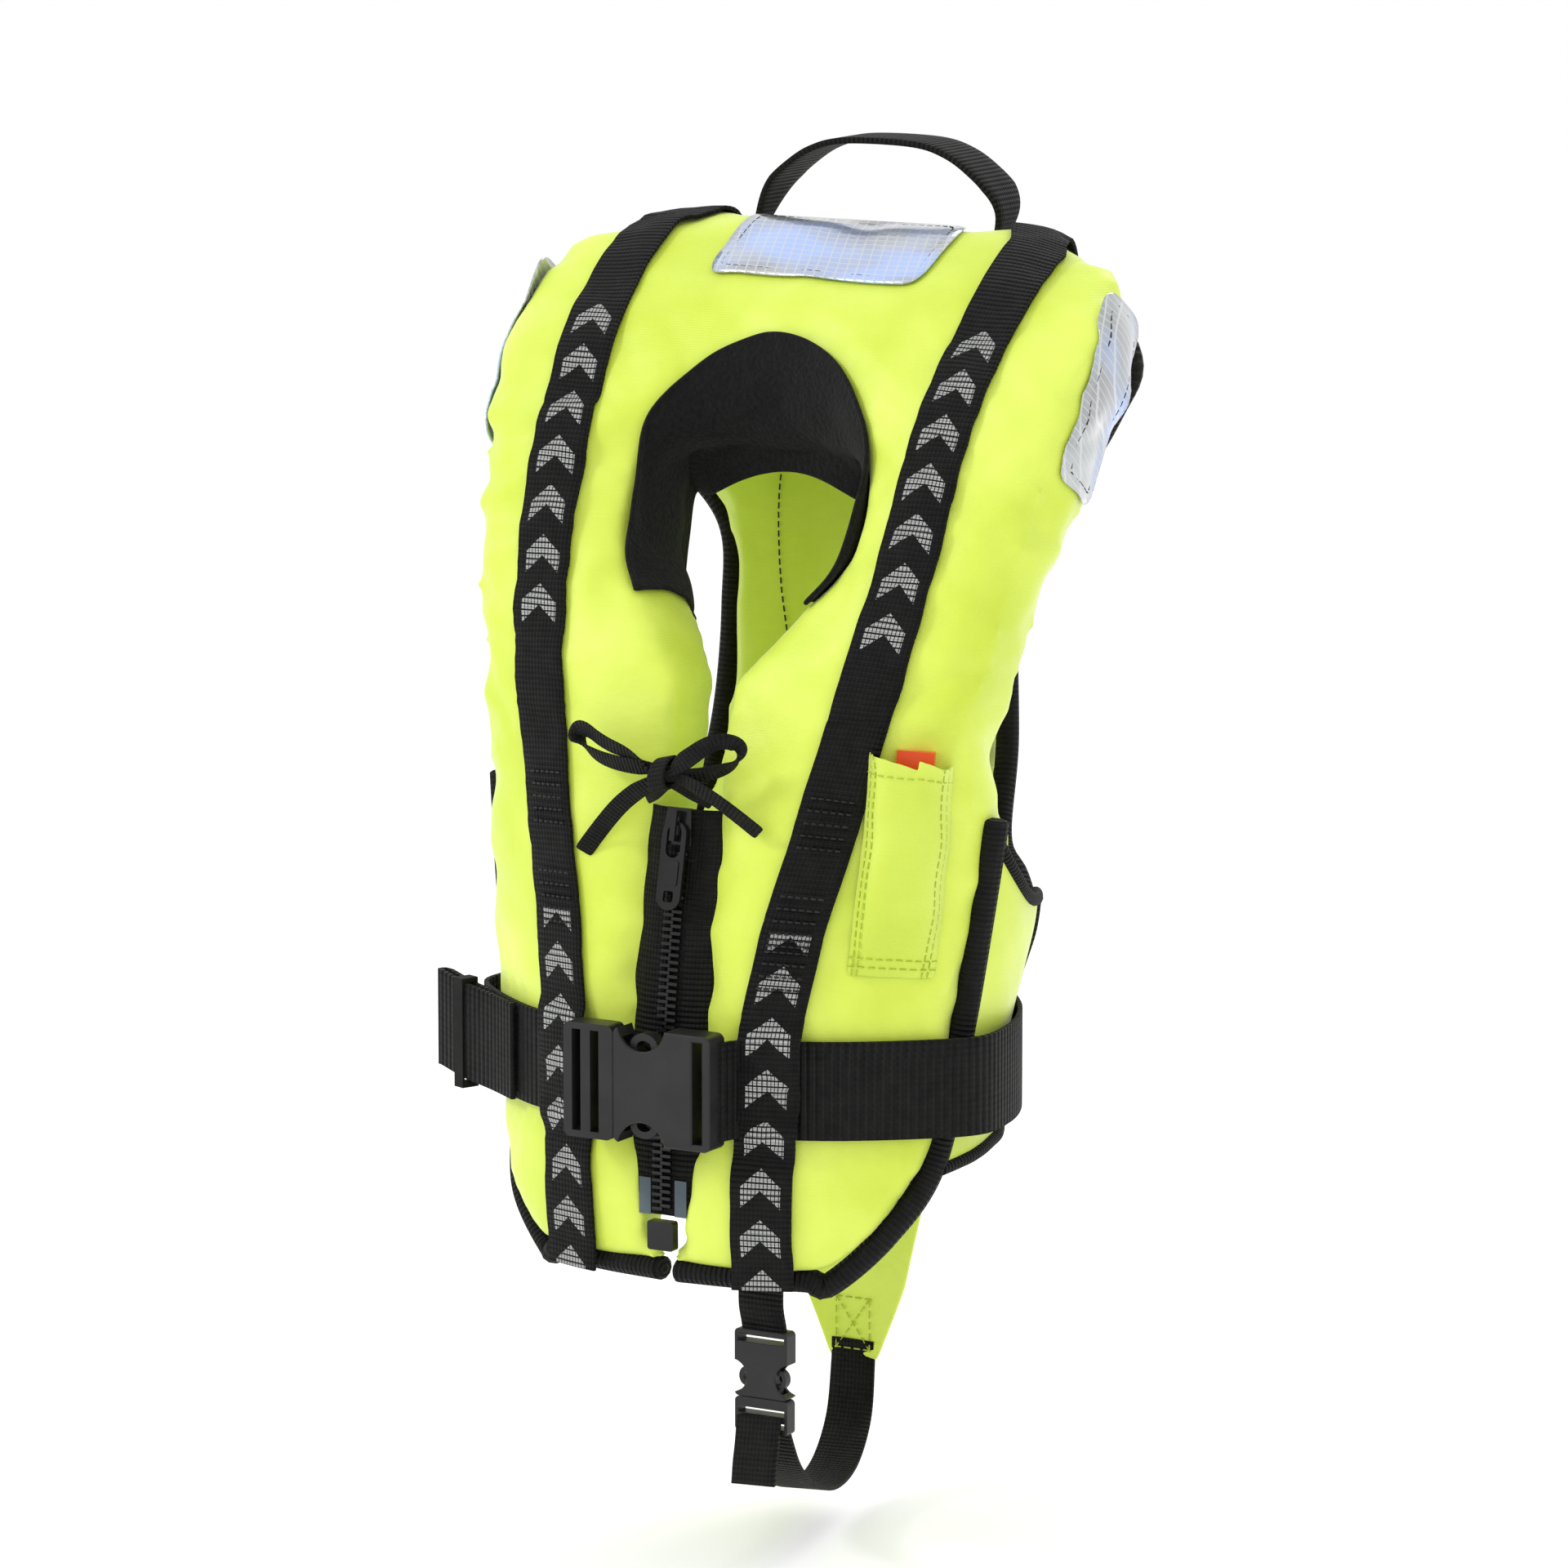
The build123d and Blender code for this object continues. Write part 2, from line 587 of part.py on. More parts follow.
# ---------------------------------------------------------------- tie tapes and their knot
TIE_RADIUS = 2.0
KNOT = (0, -87, -131)
TIE_LEFT = [
    (16, -75, -143), (8, -81, -138), (-1, -87.5, -132.5), (12, -91, -124), (24, -88, -115), (33, -82, -117),
    (30, -81, -126), (16, -86, -131), (3, -90, -130.5), (-13, -88, -139), (-28, -83.5, -151), (-43, -79, -168),
]
TIE_RIGHT = [
    (-16, -75, -143), (-8, -81, -139.5), (1, -84.5, -134), (-14, -86, -125), (-29, -85, -121.5), (-42, -80, -116),
    (-48, -77, -121), (-38, -79, -128), (-20, -84, -130), (-2, -86.5, -129), (14, -88.5, -134), (28, -86, -142),
    (40, -80, -153),
]
for name, route in (("tie_left", TIE_LEFT), ("tie_right", TIE_RIGHT)):
    radii = route_radii(route)
    tube, length = cord_tube(route, radii, TIE_RADIUS)
    print(name, "radii", [round(radius, 1) for radius in radii])
    print(name, "length", round(length, 1), "volume ratio", tube.volume / (length * 3.1416 * TIE_RADIUS**2))
    write(name, tube)

with BuildPart() as tie_knot:
    with BuildSketch(Plane.XZ.offset(-KNOT[1] - 5)):
        with Locations((KNOT[0], KNOT[2])):
            RectangleRounded(12, 13, 4)
    extrude(amount=10)
write("tie_knot", tie_knot.part)

# ---------------------------------------------------------------- grab handle
HANDLE_Y = 98.0
handle_route = [(-54, 86), (-44, 95), (-32, 103), (-16, 107), (16, 107), (32, 103), (44, 95), (54, 86)]
with BuildPart() as grab_handle:
    places = [Vector(x, HANDLE_Y, z) for x, z in handle_route]
    normals = []
    for index, place in enumerate(places):
        before = places[max(index - 1, 0)]
        after = places[min(index + 1, len(places) - 1)]
        normals.append(Vector(0, 1, 0).cross(after - before).normalized())
    add(ribbon(places, normals, STRAP_WIDTH, 2 * WEB))
write("grab_handle", grab_handle.part)


# ---------------------------------------------------------------- reflective patches
PATCH_THICKNESS = 0.6
with BuildPart() as patch_collar:
    slope = 26.0
    normal = Vector(0, -sin(radians(slope)), cos(radians(slope)))
    with BuildSketch(Plane(origin=(0, 52, 65.5), x_dir=(1, 0, 0), z_dir=normal)):
        RectangleRounded(100, 50, 8)
    extrude(amount=PATCH_THICKNESS)
write("patch_collar", patch_collar.part)

for side, sign in (("left", 1), ("right", -1)):
    with BuildPart() as patch:
        with BuildSketch(Plane(origin=(sign * 140, 34, 12), x_dir=(0, -0.55, -0.83), z_dir=(sign, 0, 0))):
            RectangleRounded(90, 46, 8)
        extrude(amount=PATCH_THICKNESS)
    write(f"patch_shoulder_{side}", patch.part)

# ---------------------------------------------------------------- whistle and its pocket
POCKET_WIDTH = 33.0
POCKET_LIFT = 11.0
pocket_rows = [(front_station(-207, 6, 110, 44, 31), 90), (front_station(-160, 12, 116, 41, 32), 93),
               ((-67, -119, 16, 119, 32, 34), 95)]
pocket_points = [on_panel(station, x, POCKET_LIFT) for station, x in pocket_rows]
with BuildPart() as whistle_pocket:
    add(ribbon([point for point, normal in pocket_points], [normal for point, normal in pocket_points],
               POCKET_WIDTH, CLOTH))
write("whistle_pocket", whistle_pocket.part)

whistle_rows = [(front_station(-157, 12, 116, 41, 32), 92), ((-66, -115, 16, 119, 31, 34), 94)]
whistle_points = [on_panel(station, x, 6.3) for station, x in whistle_rows]
with BuildPart() as whistle:
    add(ribbon([point for point, normal in whistle_points], [normal for point, normal in whistle_points], 15, 5))
write("whistle", whistle.part)
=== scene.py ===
"""Looks of the child's foam life jacket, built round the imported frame. Metres; -Y is the wearer's front."""
import math

import bpy
import numpy as np
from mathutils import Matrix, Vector, noise
from mathutils.bvhtree import BVHTree


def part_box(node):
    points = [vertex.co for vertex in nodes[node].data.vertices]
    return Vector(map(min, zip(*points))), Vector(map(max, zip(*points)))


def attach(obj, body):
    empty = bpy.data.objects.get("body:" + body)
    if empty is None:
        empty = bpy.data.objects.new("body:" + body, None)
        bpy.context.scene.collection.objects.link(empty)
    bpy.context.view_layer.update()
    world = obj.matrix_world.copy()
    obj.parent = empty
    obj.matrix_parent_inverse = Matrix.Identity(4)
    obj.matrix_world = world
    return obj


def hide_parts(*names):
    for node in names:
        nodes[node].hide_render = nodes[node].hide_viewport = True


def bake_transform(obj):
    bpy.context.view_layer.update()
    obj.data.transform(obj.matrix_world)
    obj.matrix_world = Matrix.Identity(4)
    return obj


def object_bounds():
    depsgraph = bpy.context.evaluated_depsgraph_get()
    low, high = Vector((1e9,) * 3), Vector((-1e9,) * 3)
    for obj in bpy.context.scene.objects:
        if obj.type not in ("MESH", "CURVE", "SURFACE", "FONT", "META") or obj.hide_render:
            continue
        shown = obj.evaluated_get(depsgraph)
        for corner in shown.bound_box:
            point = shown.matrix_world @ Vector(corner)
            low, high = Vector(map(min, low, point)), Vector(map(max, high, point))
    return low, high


MM = 0.001
SIDES = (("left", 1), ("right", -1))
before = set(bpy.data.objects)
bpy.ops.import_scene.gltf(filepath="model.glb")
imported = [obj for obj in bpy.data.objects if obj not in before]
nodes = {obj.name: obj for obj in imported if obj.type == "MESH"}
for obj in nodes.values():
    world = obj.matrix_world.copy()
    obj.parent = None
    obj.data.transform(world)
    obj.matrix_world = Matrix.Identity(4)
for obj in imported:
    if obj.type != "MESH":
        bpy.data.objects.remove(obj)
cad_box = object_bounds()
scene = bpy.context.scene

# ---- camera, light and floor
VIEW_AZIMUTH = math.radians(30)
VIEW_ELEVATION = math.radians(10)
VIEW_WIDTH = 0.640            # width of the view at the jacket
LENS = 180.0
SENSOR = 36.0
VIEW_CENTRE = Vector((0.0050, 0.0, -0.1480))
FLOOR_SIZE = 400
FLOOR_GAP = 0.02              # air between the hanging jacket and the floor


def aim(obj, target):
    """Turn an object's -Z axis towards a point."""
    obj.rotation_euler = (target - obj.location).to_track_quat("-Z", "Y").to_euler()


def make_camera():
    data = bpy.data.cameras.new("camera")
    data.lens = LENS
    data.sensor_width = SENSOR
    camera = bpy.data.objects.new("camera", data)
    scene.collection.objects.link(camera)
    distance = VIEW_WIDTH / 2 / (SENSOR / 2 / LENS)
    away = Vector((
        math.sin(VIEW_AZIMUTH) * math.cos(VIEW_ELEVATION),
        -math.cos(VIEW_AZIMUTH) * math.cos(VIEW_ELEVATION),
        math.sin(VIEW_ELEVATION),
    ))
    camera.location = VIEW_CENTRE + away * distance
    aim(camera, VIEW_CENTRE)
    scene.camera = camera


def make_light(name, place, size, power):
    data = bpy.data.lights.new(name, "AREA")
    data.shape = "DISK"
    data.size = size
    data.energy = power
    light = bpy.data.objects.new(name, data)
    scene.collection.objects.link(light)
    light.location = place
    aim(light, VIEW_CENTRE)


def make_stage():
    world = bpy.data.worlds.new("studio")
    world.use_nodes = True
    background = world.node_tree.nodes["Background"]
    background.inputs["Color"].default_value = (1, 1, 1, 1)
    background.inputs["Strength"].default_value = 1.0
    scene.world = world
    scene.view_settings.view_transform = "Standard"
    bpy.ops.mesh.primitive_plane_add(size=FLOOR_SIZE, location=(0, 0, cad_box[0][2] - FLOOR_GAP))
    floor = bpy.context.object
    floor.name = "floor"
    material = bpy.data.materials.new("floor")
    material.use_nodes = True
    shader = material.node_tree.nodes["Principled BSDF"]
    shader.inputs["Base Color"].default_value = (1, 1, 1, 1)
    shader.inputs["Roughness"].default_value = 0.9
    floor.data.materials.append(material)


make_camera()
make_stage()
make_light("key", (-1.4, -1.3, 1.2), 0.5, 15)
make_light("fill", (1.7, -0.9, 0.4), 1.2, 2)
make_light("rim", (0.2, 1.4, 1.3), 1.0, 10)


# ---- materials
class Nodes:
    """Short names for the shader nodes that the materials share."""

    def __init__(self, name):
        self.material = bpy.data.materials.new(name)
        self.material.use_nodes = True
        self.tree = self.material.node_tree
        self.shader = self.tree.nodes["Principled BSDF"]
        self.place = self.tree.nodes.new("ShaderNodeTexCoord").outputs["Object"]

    def set(self, **values):
        for name, value in values.items():
            self.shader.inputs[name.replace("_", " ").title().replace("Ior", "IOR")].default_value = value

    def link(self, source, target):
        self.tree.links.new(source, target)

    def math(self, operation, first, second=0.0):
        node = self.tree.nodes.new("ShaderNodeMath")
        node.operation = operation
        for socket, value in zip(node.inputs, (first, second)):
            if isinstance(value, (int, float)):
                socket.default_value = value
            else:
                self.link(value, socket)
        return node.outputs[0]

    def uv(self):
        """Across and along coordinates of a webbing, in metres."""
        node = self.tree.nodes.new("ShaderNodeUVMap")
        split = self.tree.nodes.new("ShaderNodeSeparateXYZ")
        self.link(node.outputs[0], split.inputs[0])
        return split.outputs[0], split.outputs[1]

    def axes(self):
        split = self.tree.nodes.new("ShaderNodeSeparateXYZ")
        self.link(self.place, split.inputs[0])
        return split.outputs

    def ribs(self, coordinate, pitch):
        """Rounded ribs of a pitch along a coordinate, from 0 to 1."""
        wave = self.math("SINE", self.math("MULTIPLY", coordinate, 2 * math.pi / pitch))
        return self.math("ADD", self.math("MULTIPLY", wave, 0.5), 0.5)

    def weave(self, pitch):
        """A plain weave of a pitch on a surface that stands upright."""
        x, y, z = self.axes()
        return self.math("MULTIPLY", self.ribs(self.math("ADD", x, y), pitch), self.ribs(z, pitch))

    def noise(self, scale, detail=3.0, stretch=None):
        node = self.tree.nodes.new("ShaderNodeTexNoise")
        node.inputs["Scale"].default_value = scale
        node.inputs["Detail"].default_value = detail
        source = self.place
        if stretch:
            mapping = self.tree.nodes.new("ShaderNodeMapping")
            mapping.inputs["Scale"].default_value = stretch
            self.link(self.place, mapping.inputs[0])
            source = mapping.outputs[0]
        self.link(source, node.inputs["Vector"])
        return node.outputs["Fac"]

    def mix(self, factor, first, second):
        node = self.tree.nodes.new("ShaderNodeMix")
        node.data_type = "RGBA"
        self.link(factor, node.inputs[0])
        for socket, value in zip((node.inputs[6], node.inputs[7]), (first, second)):
            if isinstance(value, tuple):
                socket.default_value = (*value, 1)
            else:
                self.link(value, socket)
        return node.outputs[2]

    def ramp(self, factor, low, high):
        node = self.tree.nodes.new("ShaderNodeMapRange")
        node.inputs["From Min"].default_value = low
        node.inputs["From Max"].default_value = high
        self.link(factor, node.inputs[0])
        return node.outputs[0]

    def bump(self, height, distance, strength=1.0):
        node = self.tree.nodes.new("ShaderNodeBump")
        node.inputs["Distance"].default_value = distance
        node.inputs["Strength"].default_value = strength
        self.link(height, node.inputs["Height"])
        self.link(node.outputs[0], self.shader.inputs["Normal"])

    def colour(self, value):
        self.link(value, self.shader.inputs["Base Color"])

    def rough(self, factor, low, high):
        node = self.tree.nodes.new("ShaderNodeMapRange")
        node.inputs["To Min"].default_value = low
        node.inputs["To Max"].default_value = high
        self.link(factor, node.inputs[0])
        self.link(node.outputs[0], self.shader.inputs["Roughness"])


def nylon(name, deep, bright):
    """Fluorescent satin nylon: fine plain weave, cloudy colour, soft sheen."""
    n = Nodes(name)
    cloud = n.ramp(n.noise(14, 4), 0.35, 0.65)
    n.colour(n.mix(cloud, deep, bright))
    crinkle = n.noise(240, 2)
    n.bump(n.math("ADD", n.math("MULTIPLY", n.weave(0.0009), 0.35), crinkle), 0.00035, 0.55)
    n.rough(crinkle, 0.36, 0.52)
    n.set(sheen_weight=0.3, sheen_roughness=0.4)
    return n.material


CHEVRON_PITCH = 0.021
CHEVRON_SHARE = 0.42          # of the pitch that is pale
CHEVRON_HALF = 0.0082         # half of the pattern's width
CHEVRON_SLOPE = 0.9


def chevrons(n, across, along, spans):
    """Mask of pale chevrons, woven thread by thread, within some spans of a webbing's length."""
    off_middle = n.math("ABSOLUTE", across)
    slant = n.math("ADD", along, n.math("MULTIPLY", off_middle, CHEVRON_SLOPE))
    mask = n.math("LESS_THAN", n.math("FRACT", n.math("DIVIDE", slant, CHEVRON_PITCH)), CHEVRON_SHARE)
    mask = n.math("MULTIPLY", mask, n.math("LESS_THAN", off_middle, CHEVRON_HALF))
    inside = 0.0
    for low, high in spans:
        span = n.math("MULTIPLY", n.math("GREATER_THAN", along, low), n.math("LESS_THAN", along, high))
        inside = n.math("ADD", inside, span)
    threads = n.math("GREATER_THAN", n.ribs(along, 0.0024), 0.18)
    picks = n.math("GREATER_THAN", n.ribs(across, 0.0016), 0.12)
    for part in (inside, threads, picks):
        mask = n.math("MULTIPLY", mask, part)
    return mask


def webbing(name, pitch, dark, pale, printed=()):
    """Black ribbed webbing; printed spans carry a woven pattern of pale chevrons."""
    n = Nodes(name)
    across, along = n.uv()
    twill = n.math("ADD", n.ribs(along, pitch), n.math("MULTIPLY", n.ribs(across, pitch * 0.8), 0.3))
    base = n.mix(n.ramp(n.noise(180, 3), 0.3, 0.7), dark, pale)
    if printed:
        base = n.mix(chevrons(n, across, along, printed), base, (0.5, 0.51, 0.5))
    n.colour(base)
    n.bump(twill, 0.0014, 1.0)
    n.rough(twill, 0.55, 0.8)
    n.set(specular_ior_level=0.22)
    return n.material


def moulded(name, dark, pale, low, high):
    """Moulded plastic with a faint spark-eroded grain."""
    n = Nodes(name)
    grain = n.noise(900, 2)
    n.colour(n.mix(n.ramp(n.noise(60, 3), 0.3, 0.7), dark, pale))
    n.bump(grain, 0.00012, 0.5)
    n.rough(n.noise(120, 3), low, high)
    n.set(specular_ior_level=0.34)
    return n.material


def fleece_material():
    n = Nodes("black_fleece")
    fuzz = n.noise(520, 5)
    n.colour(n.mix(n.ramp(fuzz, 0.3, 0.75), (0.0015, 0.0015, 0.0015), (0.008, 0.008, 0.0085)))
    n.bump(fuzz, 0.0012, 0.9)
    n.rough(fuzz, 0.85, 1.0)
    n.set(sheen_weight=0.05, sheen_roughness=0.7, specular_ior_level=0.1)
    return n.material


def reflective_material():
    """Prismatic reflective film: a fine grid of cells with a slow blue and white shift; the blue is a painted
    reflection.
    """
    n = Nodes("reflective")
    x, y, z = n.axes()
    cell = 0.0046
    upright = n.ribs(n.math("ADD", x, n.math("MULTIPLY", y, 0.3)), cell)
    grid = n.math("MAXIMUM", upright, n.ribs(n.math("ADD", z, y), cell))
    lines = n.ramp(grid, 0.93, 1.0)
    # Painted reflection: a slow noise sweeps the film's silver towards blue, standing in for the prisms'
    # coloured reflection.
    painted_reflection_sweep = n.ramp(n.noise(17, 1, (1, 2, 1)), 0.48, 0.66)
    silver = n.mix(n.ramp(n.noise(40, 3), 0.35, 0.65), (0.34, 0.35, 0.36), (0.5, 0.52, 0.53))
    silver_and_painted_reflection = n.mix(painted_reflection_sweep, silver, (0.42, 0.56, 0.95))
    n.colour(n.mix(lines, silver_and_painted_reflection, (0.62, 0.64, 0.66)))
    n.bump(grid, 0.0002, 0.3)
    n.rough(n.noise(35, 2), 0.16, 0.34)
    n.set(metallic=0.55, coat_weight=0.7)
    return n.material


def pocket_material():
    n = Nodes("pocket_nylon")
    n.colour(n.mix(n.ramp(n.noise(20, 3), 0.35, 0.65), (0.56, 0.70, 0.05), (0.66, 0.80, 0.10)))
    n.bump(n.weave(0.0008), 0.0002, 0.5)
    n.rough(n.noise(60, 3), 0.3, 0.5)
    n.set(sheen_weight=0.2)
    return n.material


YELLOW = nylon("yellow_nylon", (0.58, 0.72, 0.045), (0.71, 0.85, 0.11))
BLACK, SOFT_BLACK = (0.002, 0.002, 0.002), (0.008, 0.0075, 0.007)
# The stretches of a strap's length, from the hem, that carry chevrons.
STRAP_SPANS = ((0.0, 0.148), (0.262, 0.408))
BELT_CLOTH = webbing("belt_webbing", 0.0034, BLACK, SOFT_BLACK)
PLAIN_CLOTH = webbing("plain_webbing", 0.0022, BLACK, SOFT_BLACK)
STRAP_CLOTH = webbing("strap_webbing", 0.0022, BLACK, SOFT_BLACK, STRAP_SPANS)
BRAID = webbing("tie_braid", 0.0018, (0.004, 0.004, 0.004), (0.014, 0.013, 0.013))
PLASTIC = moulded("buckle_plastic", (0.009, 0.009, 0.009), (0.016, 0.016, 0.017), 0.34, 0.5)
ZIP_PLASTIC = moulded("zip_plastic", (0.004, 0.004, 0.004), (0.010, 0.010, 0.010), 0.14, 0.28)
ORANGE = moulded("whistle_plastic", (0.75, 0.06, 0.01), (0.9, 0.11, 0.02), 0.25, 0.4)
FILM = moulded("zip_film", (0.05, 0.075, 0.09), (0.085, 0.115, 0.13), 0.2, 0.35)
THREAD_DARK = moulded("thread_dark", (0.01, 0.01, 0.012), (0.03, 0.03, 0.03), 0.6, 0.8)
THREAD_YELLOW = moulded("thread_yellow", (0.40, 0.50, 0.03), (0.50, 0.62, 0.05), 0.5, 0.7)
FLEECE = fleece_material()
REFLECTIVE = reflective_material()
POCKET = pocket_material()


# ---- mesh helpers
def set_material(obj, material):
    obj.data.materials.clear()
    obj.data.materials.append(material)


def new_object(name, mesh, material, body):
    obj = bpy.data.objects.new(name, mesh)
    scene.collection.objects.link(obj)
    set_material(obj, material)
    for face in obj.data.polygons:
        face.use_smooth = True
    if body:
        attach(obj, body)
    return obj


def grid_object(name, rows, material, body, thickness=0.0, offset=0.0):
    """A sheet through rows of points, with across and along coordinates in metres as its UVs."""
    width = len(rows[0])
    points = [point for row in rows for point in row]
    faces = []
    for row in range(len(rows) - 1):
        for column in range(width - 1):
            corner = row * width + column
            faces.append((corner, corner + 1, corner + width + 1, corner + width))
    mesh = bpy.data.meshes.new(name)
    mesh.from_pydata([tuple(point) for point in points], [], faces)
    layer = mesh.uv_layers.new(name="metres")
    along = [0.0]
    middle = width // 2
    for before, after in zip(rows, rows[1:]):
        along.append(along[-1] + (Vector(after[middle]) - Vector(before[middle])).length)
    for loop in mesh.loops:
        row, column = divmod(loop.vertex_index, width)
        side = Vector(rows[row][-1]) - Vector(rows[row][0])
        layer.data[loop.index].uv = ((column / (width - 1) - 0.5) * side.length, along[row])
    obj = new_object(name, mesh, material, body)
    if thickness:
        solid = obj.modifiers.new("thickness", "SOLIDIFY")
        solid.thickness = thickness
        solid.offset = offset
    return obj


def smooth_surface(obj, render_levels=2):
    modifier = obj.modifiers.new("smooth", "SUBSURF")
    modifier.levels = 1
    modifier.render_levels = render_levels


def smooth_line(points, count):
    """Evenly spread points on a smooth line through the given ones."""
    points = [Vector(point) for point in points]
    padded = [points[0] * 2 - points[1]] + points + [points[-1] * 2 - points[-2]]
    dense = []
    for index in range(len(points) - 1):
        a, b, c, d = padded[index:index + 4]
        for step in range(16):
            t = step / 16
            dense.append(0.5 * ((2 * b) + (c - a) * t + (2 * a - 5 * b + 4 * c - d) * t**2
                                + (3 * b - a - 3 * c + d) * t**3))
    dense.append(points[-1])
    lengths = [0.0]
    for before, after in zip(dense, dense[1:]):
        lengths.append(lengths[-1] + (after - before).length)
    result = []
    index = 0
    for step in range(count):
        target = lengths[-1] * step / (count - 1)
        while index < len(lengths) - 2 and lengths[index + 1] < target:
            index += 1
        span = lengths[index + 1] - lengths[index]
        result.append(dense[index].lerp(dense[index + 1], (target - lengths[index]) / span))
    return result


def millimetre_line(points, count):
    """Evenly spread points on a smooth line through points in millimetres."""
    return smooth_line([Vector(point) * MM for point in points], count)


def joined(names):
    """One mesh with copies of several CAD nodes."""
    points = []
    faces = []
    for name in names:
        data = nodes[name].data
        start = len(points)
        points += [tuple(vertex.co) for vertex in data.vertices]
        faces += [tuple(start + index for index in face.vertices) for face in data.polygons]
    mesh = bpy.data.meshes.new(names[0] + "_copy")
    mesh.from_pydata(points, [], faces)
    return mesh


def baked(obj):
    """The object's mesh with its modifiers applied."""
    depsgraph = bpy.context.evaluated_depsgraph_get()
    return bpy.data.meshes.new_from_object(obj.evaluated_get(depsgraph))


def remeshed(mesh, voxel):
    obj = bpy.data.objects.new("remesh", mesh)
    scene.collection.objects.link(obj)
    modifier = obj.modifiers.new("voxels", "REMESH")
    modifier.mode = "VOXEL"
    modifier.voxel_size = voxel
    result = baked(obj)
    bpy.data.objects.remove(obj)
    return result


def coordinates(mesh):
    places = np.empty(len(mesh.vertices) * 3)
    mesh.vertices.foreach_get("co", places)
    return places.reshape(-1, 3)


def store(mesh, places):
    mesh.vertices.foreach_set("co", places.ravel())
    mesh.update()


def relax(mesh, rounds, pull=0.5):
    """Even out a mesh by drawing each point towards its neighbours' mean."""
    places = coordinates(mesh)
    edges = np.empty(len(mesh.edges) * 2, dtype=np.int64)
    mesh.edges.foreach_get("vertices", edges)
    edges = edges.reshape(-1, 2)
    count = np.bincount(edges.ravel(), minlength=len(places))[:, None]
    for _ in range(rounds):
        total = np.zeros_like(places)
        np.add.at(total, edges[:, 0], places[edges[:, 1]])
        np.add.at(total, edges[:, 1], places[edges[:, 0]])
        places = places + (total / np.maximum(count, 1) - places) * pull
    store(mesh, places)


def inflate(mesh, pressure, cap):
    """Let cloth under pressure swell and pucker, each point by no more than the cap."""
    start = coordinates(mesh)
    obj = bpy.data.objects.new("inflating", mesh)
    scene.collection.objects.link(obj)
    cloth = obj.modifiers.new("cloth", "CLOTH")
    cloth.settings.quality = 5
    cloth.settings.mass = 0.15
    cloth.settings.tension_stiffness = 12
    cloth.settings.compression_stiffness = 12
    cloth.settings.bending_stiffness = 0.3
    cloth.settings.use_pressure = True
    cloth.settings.uniform_pressure_force = pressure
    cloth.settings.effector_weights.gravity = 0
    cloth.collision_settings.use_collision = False
    for frame_number in range(1, 15):
        scene.frame_set(frame_number)
    result = baked(obj)
    scene.frame_set(1)
    bpy.data.objects.remove(obj)
    moved = coordinates(result)
    step = moved - start
    length = np.linalg.norm(step, axis=1, keepdims=True)
    store(result, start + step * np.minimum(1, cap / np.maximum(length, 1e-9)))
    return result


def normals_of(mesh):
    return np.array([tuple(vertex.normal) for vertex in mesh.vertices])


def surface_of(mesh):
    points = [tuple(vertex.co) for vertex in mesh.vertices]
    return BVHTree.FromPolygons(points, [tuple(face.vertices) for face in mesh.polygons])


def hit(surface, origin, direction):
    """First point of a surface along a ray, or the nearest point where the ray misses."""
    place, normal, _, _ = surface.ray_cast(origin, direction)
    if place is None:
        place, normal, _, _ = surface.find_nearest(origin + direction * 0.06)
    return place, normal


def clear_of(surface, place, room):
    """The place, moved out to a distance from a closed surface if it is nearer or inside."""
    near, normal, _, _ = surface.find_nearest(place)
    height = (place - near).dot(normal)
    return near + normal * room if height < room else place


def relax_rows(rows, rounds):
    """Draw a sheet's points towards their neighbours, its first and last rows apart, in place."""
    for _ in range(rounds):
        before = [list(row) for row in rows]
        for r in range(1, len(rows) - 1):
            for c in range(1, len(rows[r]) - 1):
                around = before[r - 1][c] + before[r + 1][c] + before[r][c - 1] + before[r][c + 1]
                rows[r][c] = before[r][c].lerp(around / 4, 0.6)
            for c in (0, len(rows[r]) - 1):
                rows[r][c] = before[r][c].lerp((before[r - 1][c] + before[r + 1][c]) / 2, 0.6)


def stitches(name, lines, material, length=0.0026, gap=0.0012, width=0.0006):
    """Rows of short stitches along lines of points, as one mesh."""
    points = []
    faces = []
    for line in lines:
        total = sum((b - a).length for a, b in zip(line, line[1:]))
        count = max(int(total / (length + gap)), 2)
        spots = smooth_line(line, count * 2)
        for index in range(0, len(spots) - 1, 2):
            start = spots[index]
            end = start + (spots[index + 1] - start) * 1.3
            along = (end - start).normalized()
            side = along.cross(Vector((0.3, -1, 0.35))).normalized() * (width / 2)
            lift = side.cross(along).normalized() * (width / 2)
            first = len(points)
            for place in (start, end):
                points += [tuple(place + side), tuple(place + lift), tuple(place - side), tuple(place - lift)]
            for corner in range(4):
                after = (corner + 1) % 4
                faces.append((first + corner, first + after, first + 4 + after, first + 4 + corner))
            faces.append((first + 3, first + 2, first + 1, first))
            faces.append((first + 4, first + 5, first + 6, first + 7))
    mesh = bpy.data.meshes.new(name)
    mesh.from_pydata(points, [], faces)
    return new_object(name, mesh, material, "vest")


# ---- the vest: puffed shell
# Side view of the front's outer face from the hem to the back of the collar: y, z and outward tilt.
PROFILE = [
    (-87, -337, 0), (-91, -316, 0), (-91, -288, 0), (-87.5, -234, 2), (-82, -192, 8), (-74, -150, 14),
    (-60, -92, 18), (-41, -50, 24), (-17, 1, 38), (8, 34, 52), (34, 51, 64), (60, 65, 72), (92, 80, 86),
]
PROFILE_Y, PROFILE_Z, PROFILE_TILT = zip(*PROFILE)
# Lengths along that line at the stations, so that pieces can be placed by length and x.
PROFILE_LENGTH = [0.0]
for (y0, z0, t0), (y1, z1, t1) in zip(PROFILE, PROFILE[1:]):
    PROFILE_LENGTH.append(PROFILE_LENGTH[-1] + math.hypot(y1 - y0, z1 - z0) * MM)


def between(table, stations, value):
    """Linear reading of a table at a value."""
    return float(np.interp(value, stations, table))


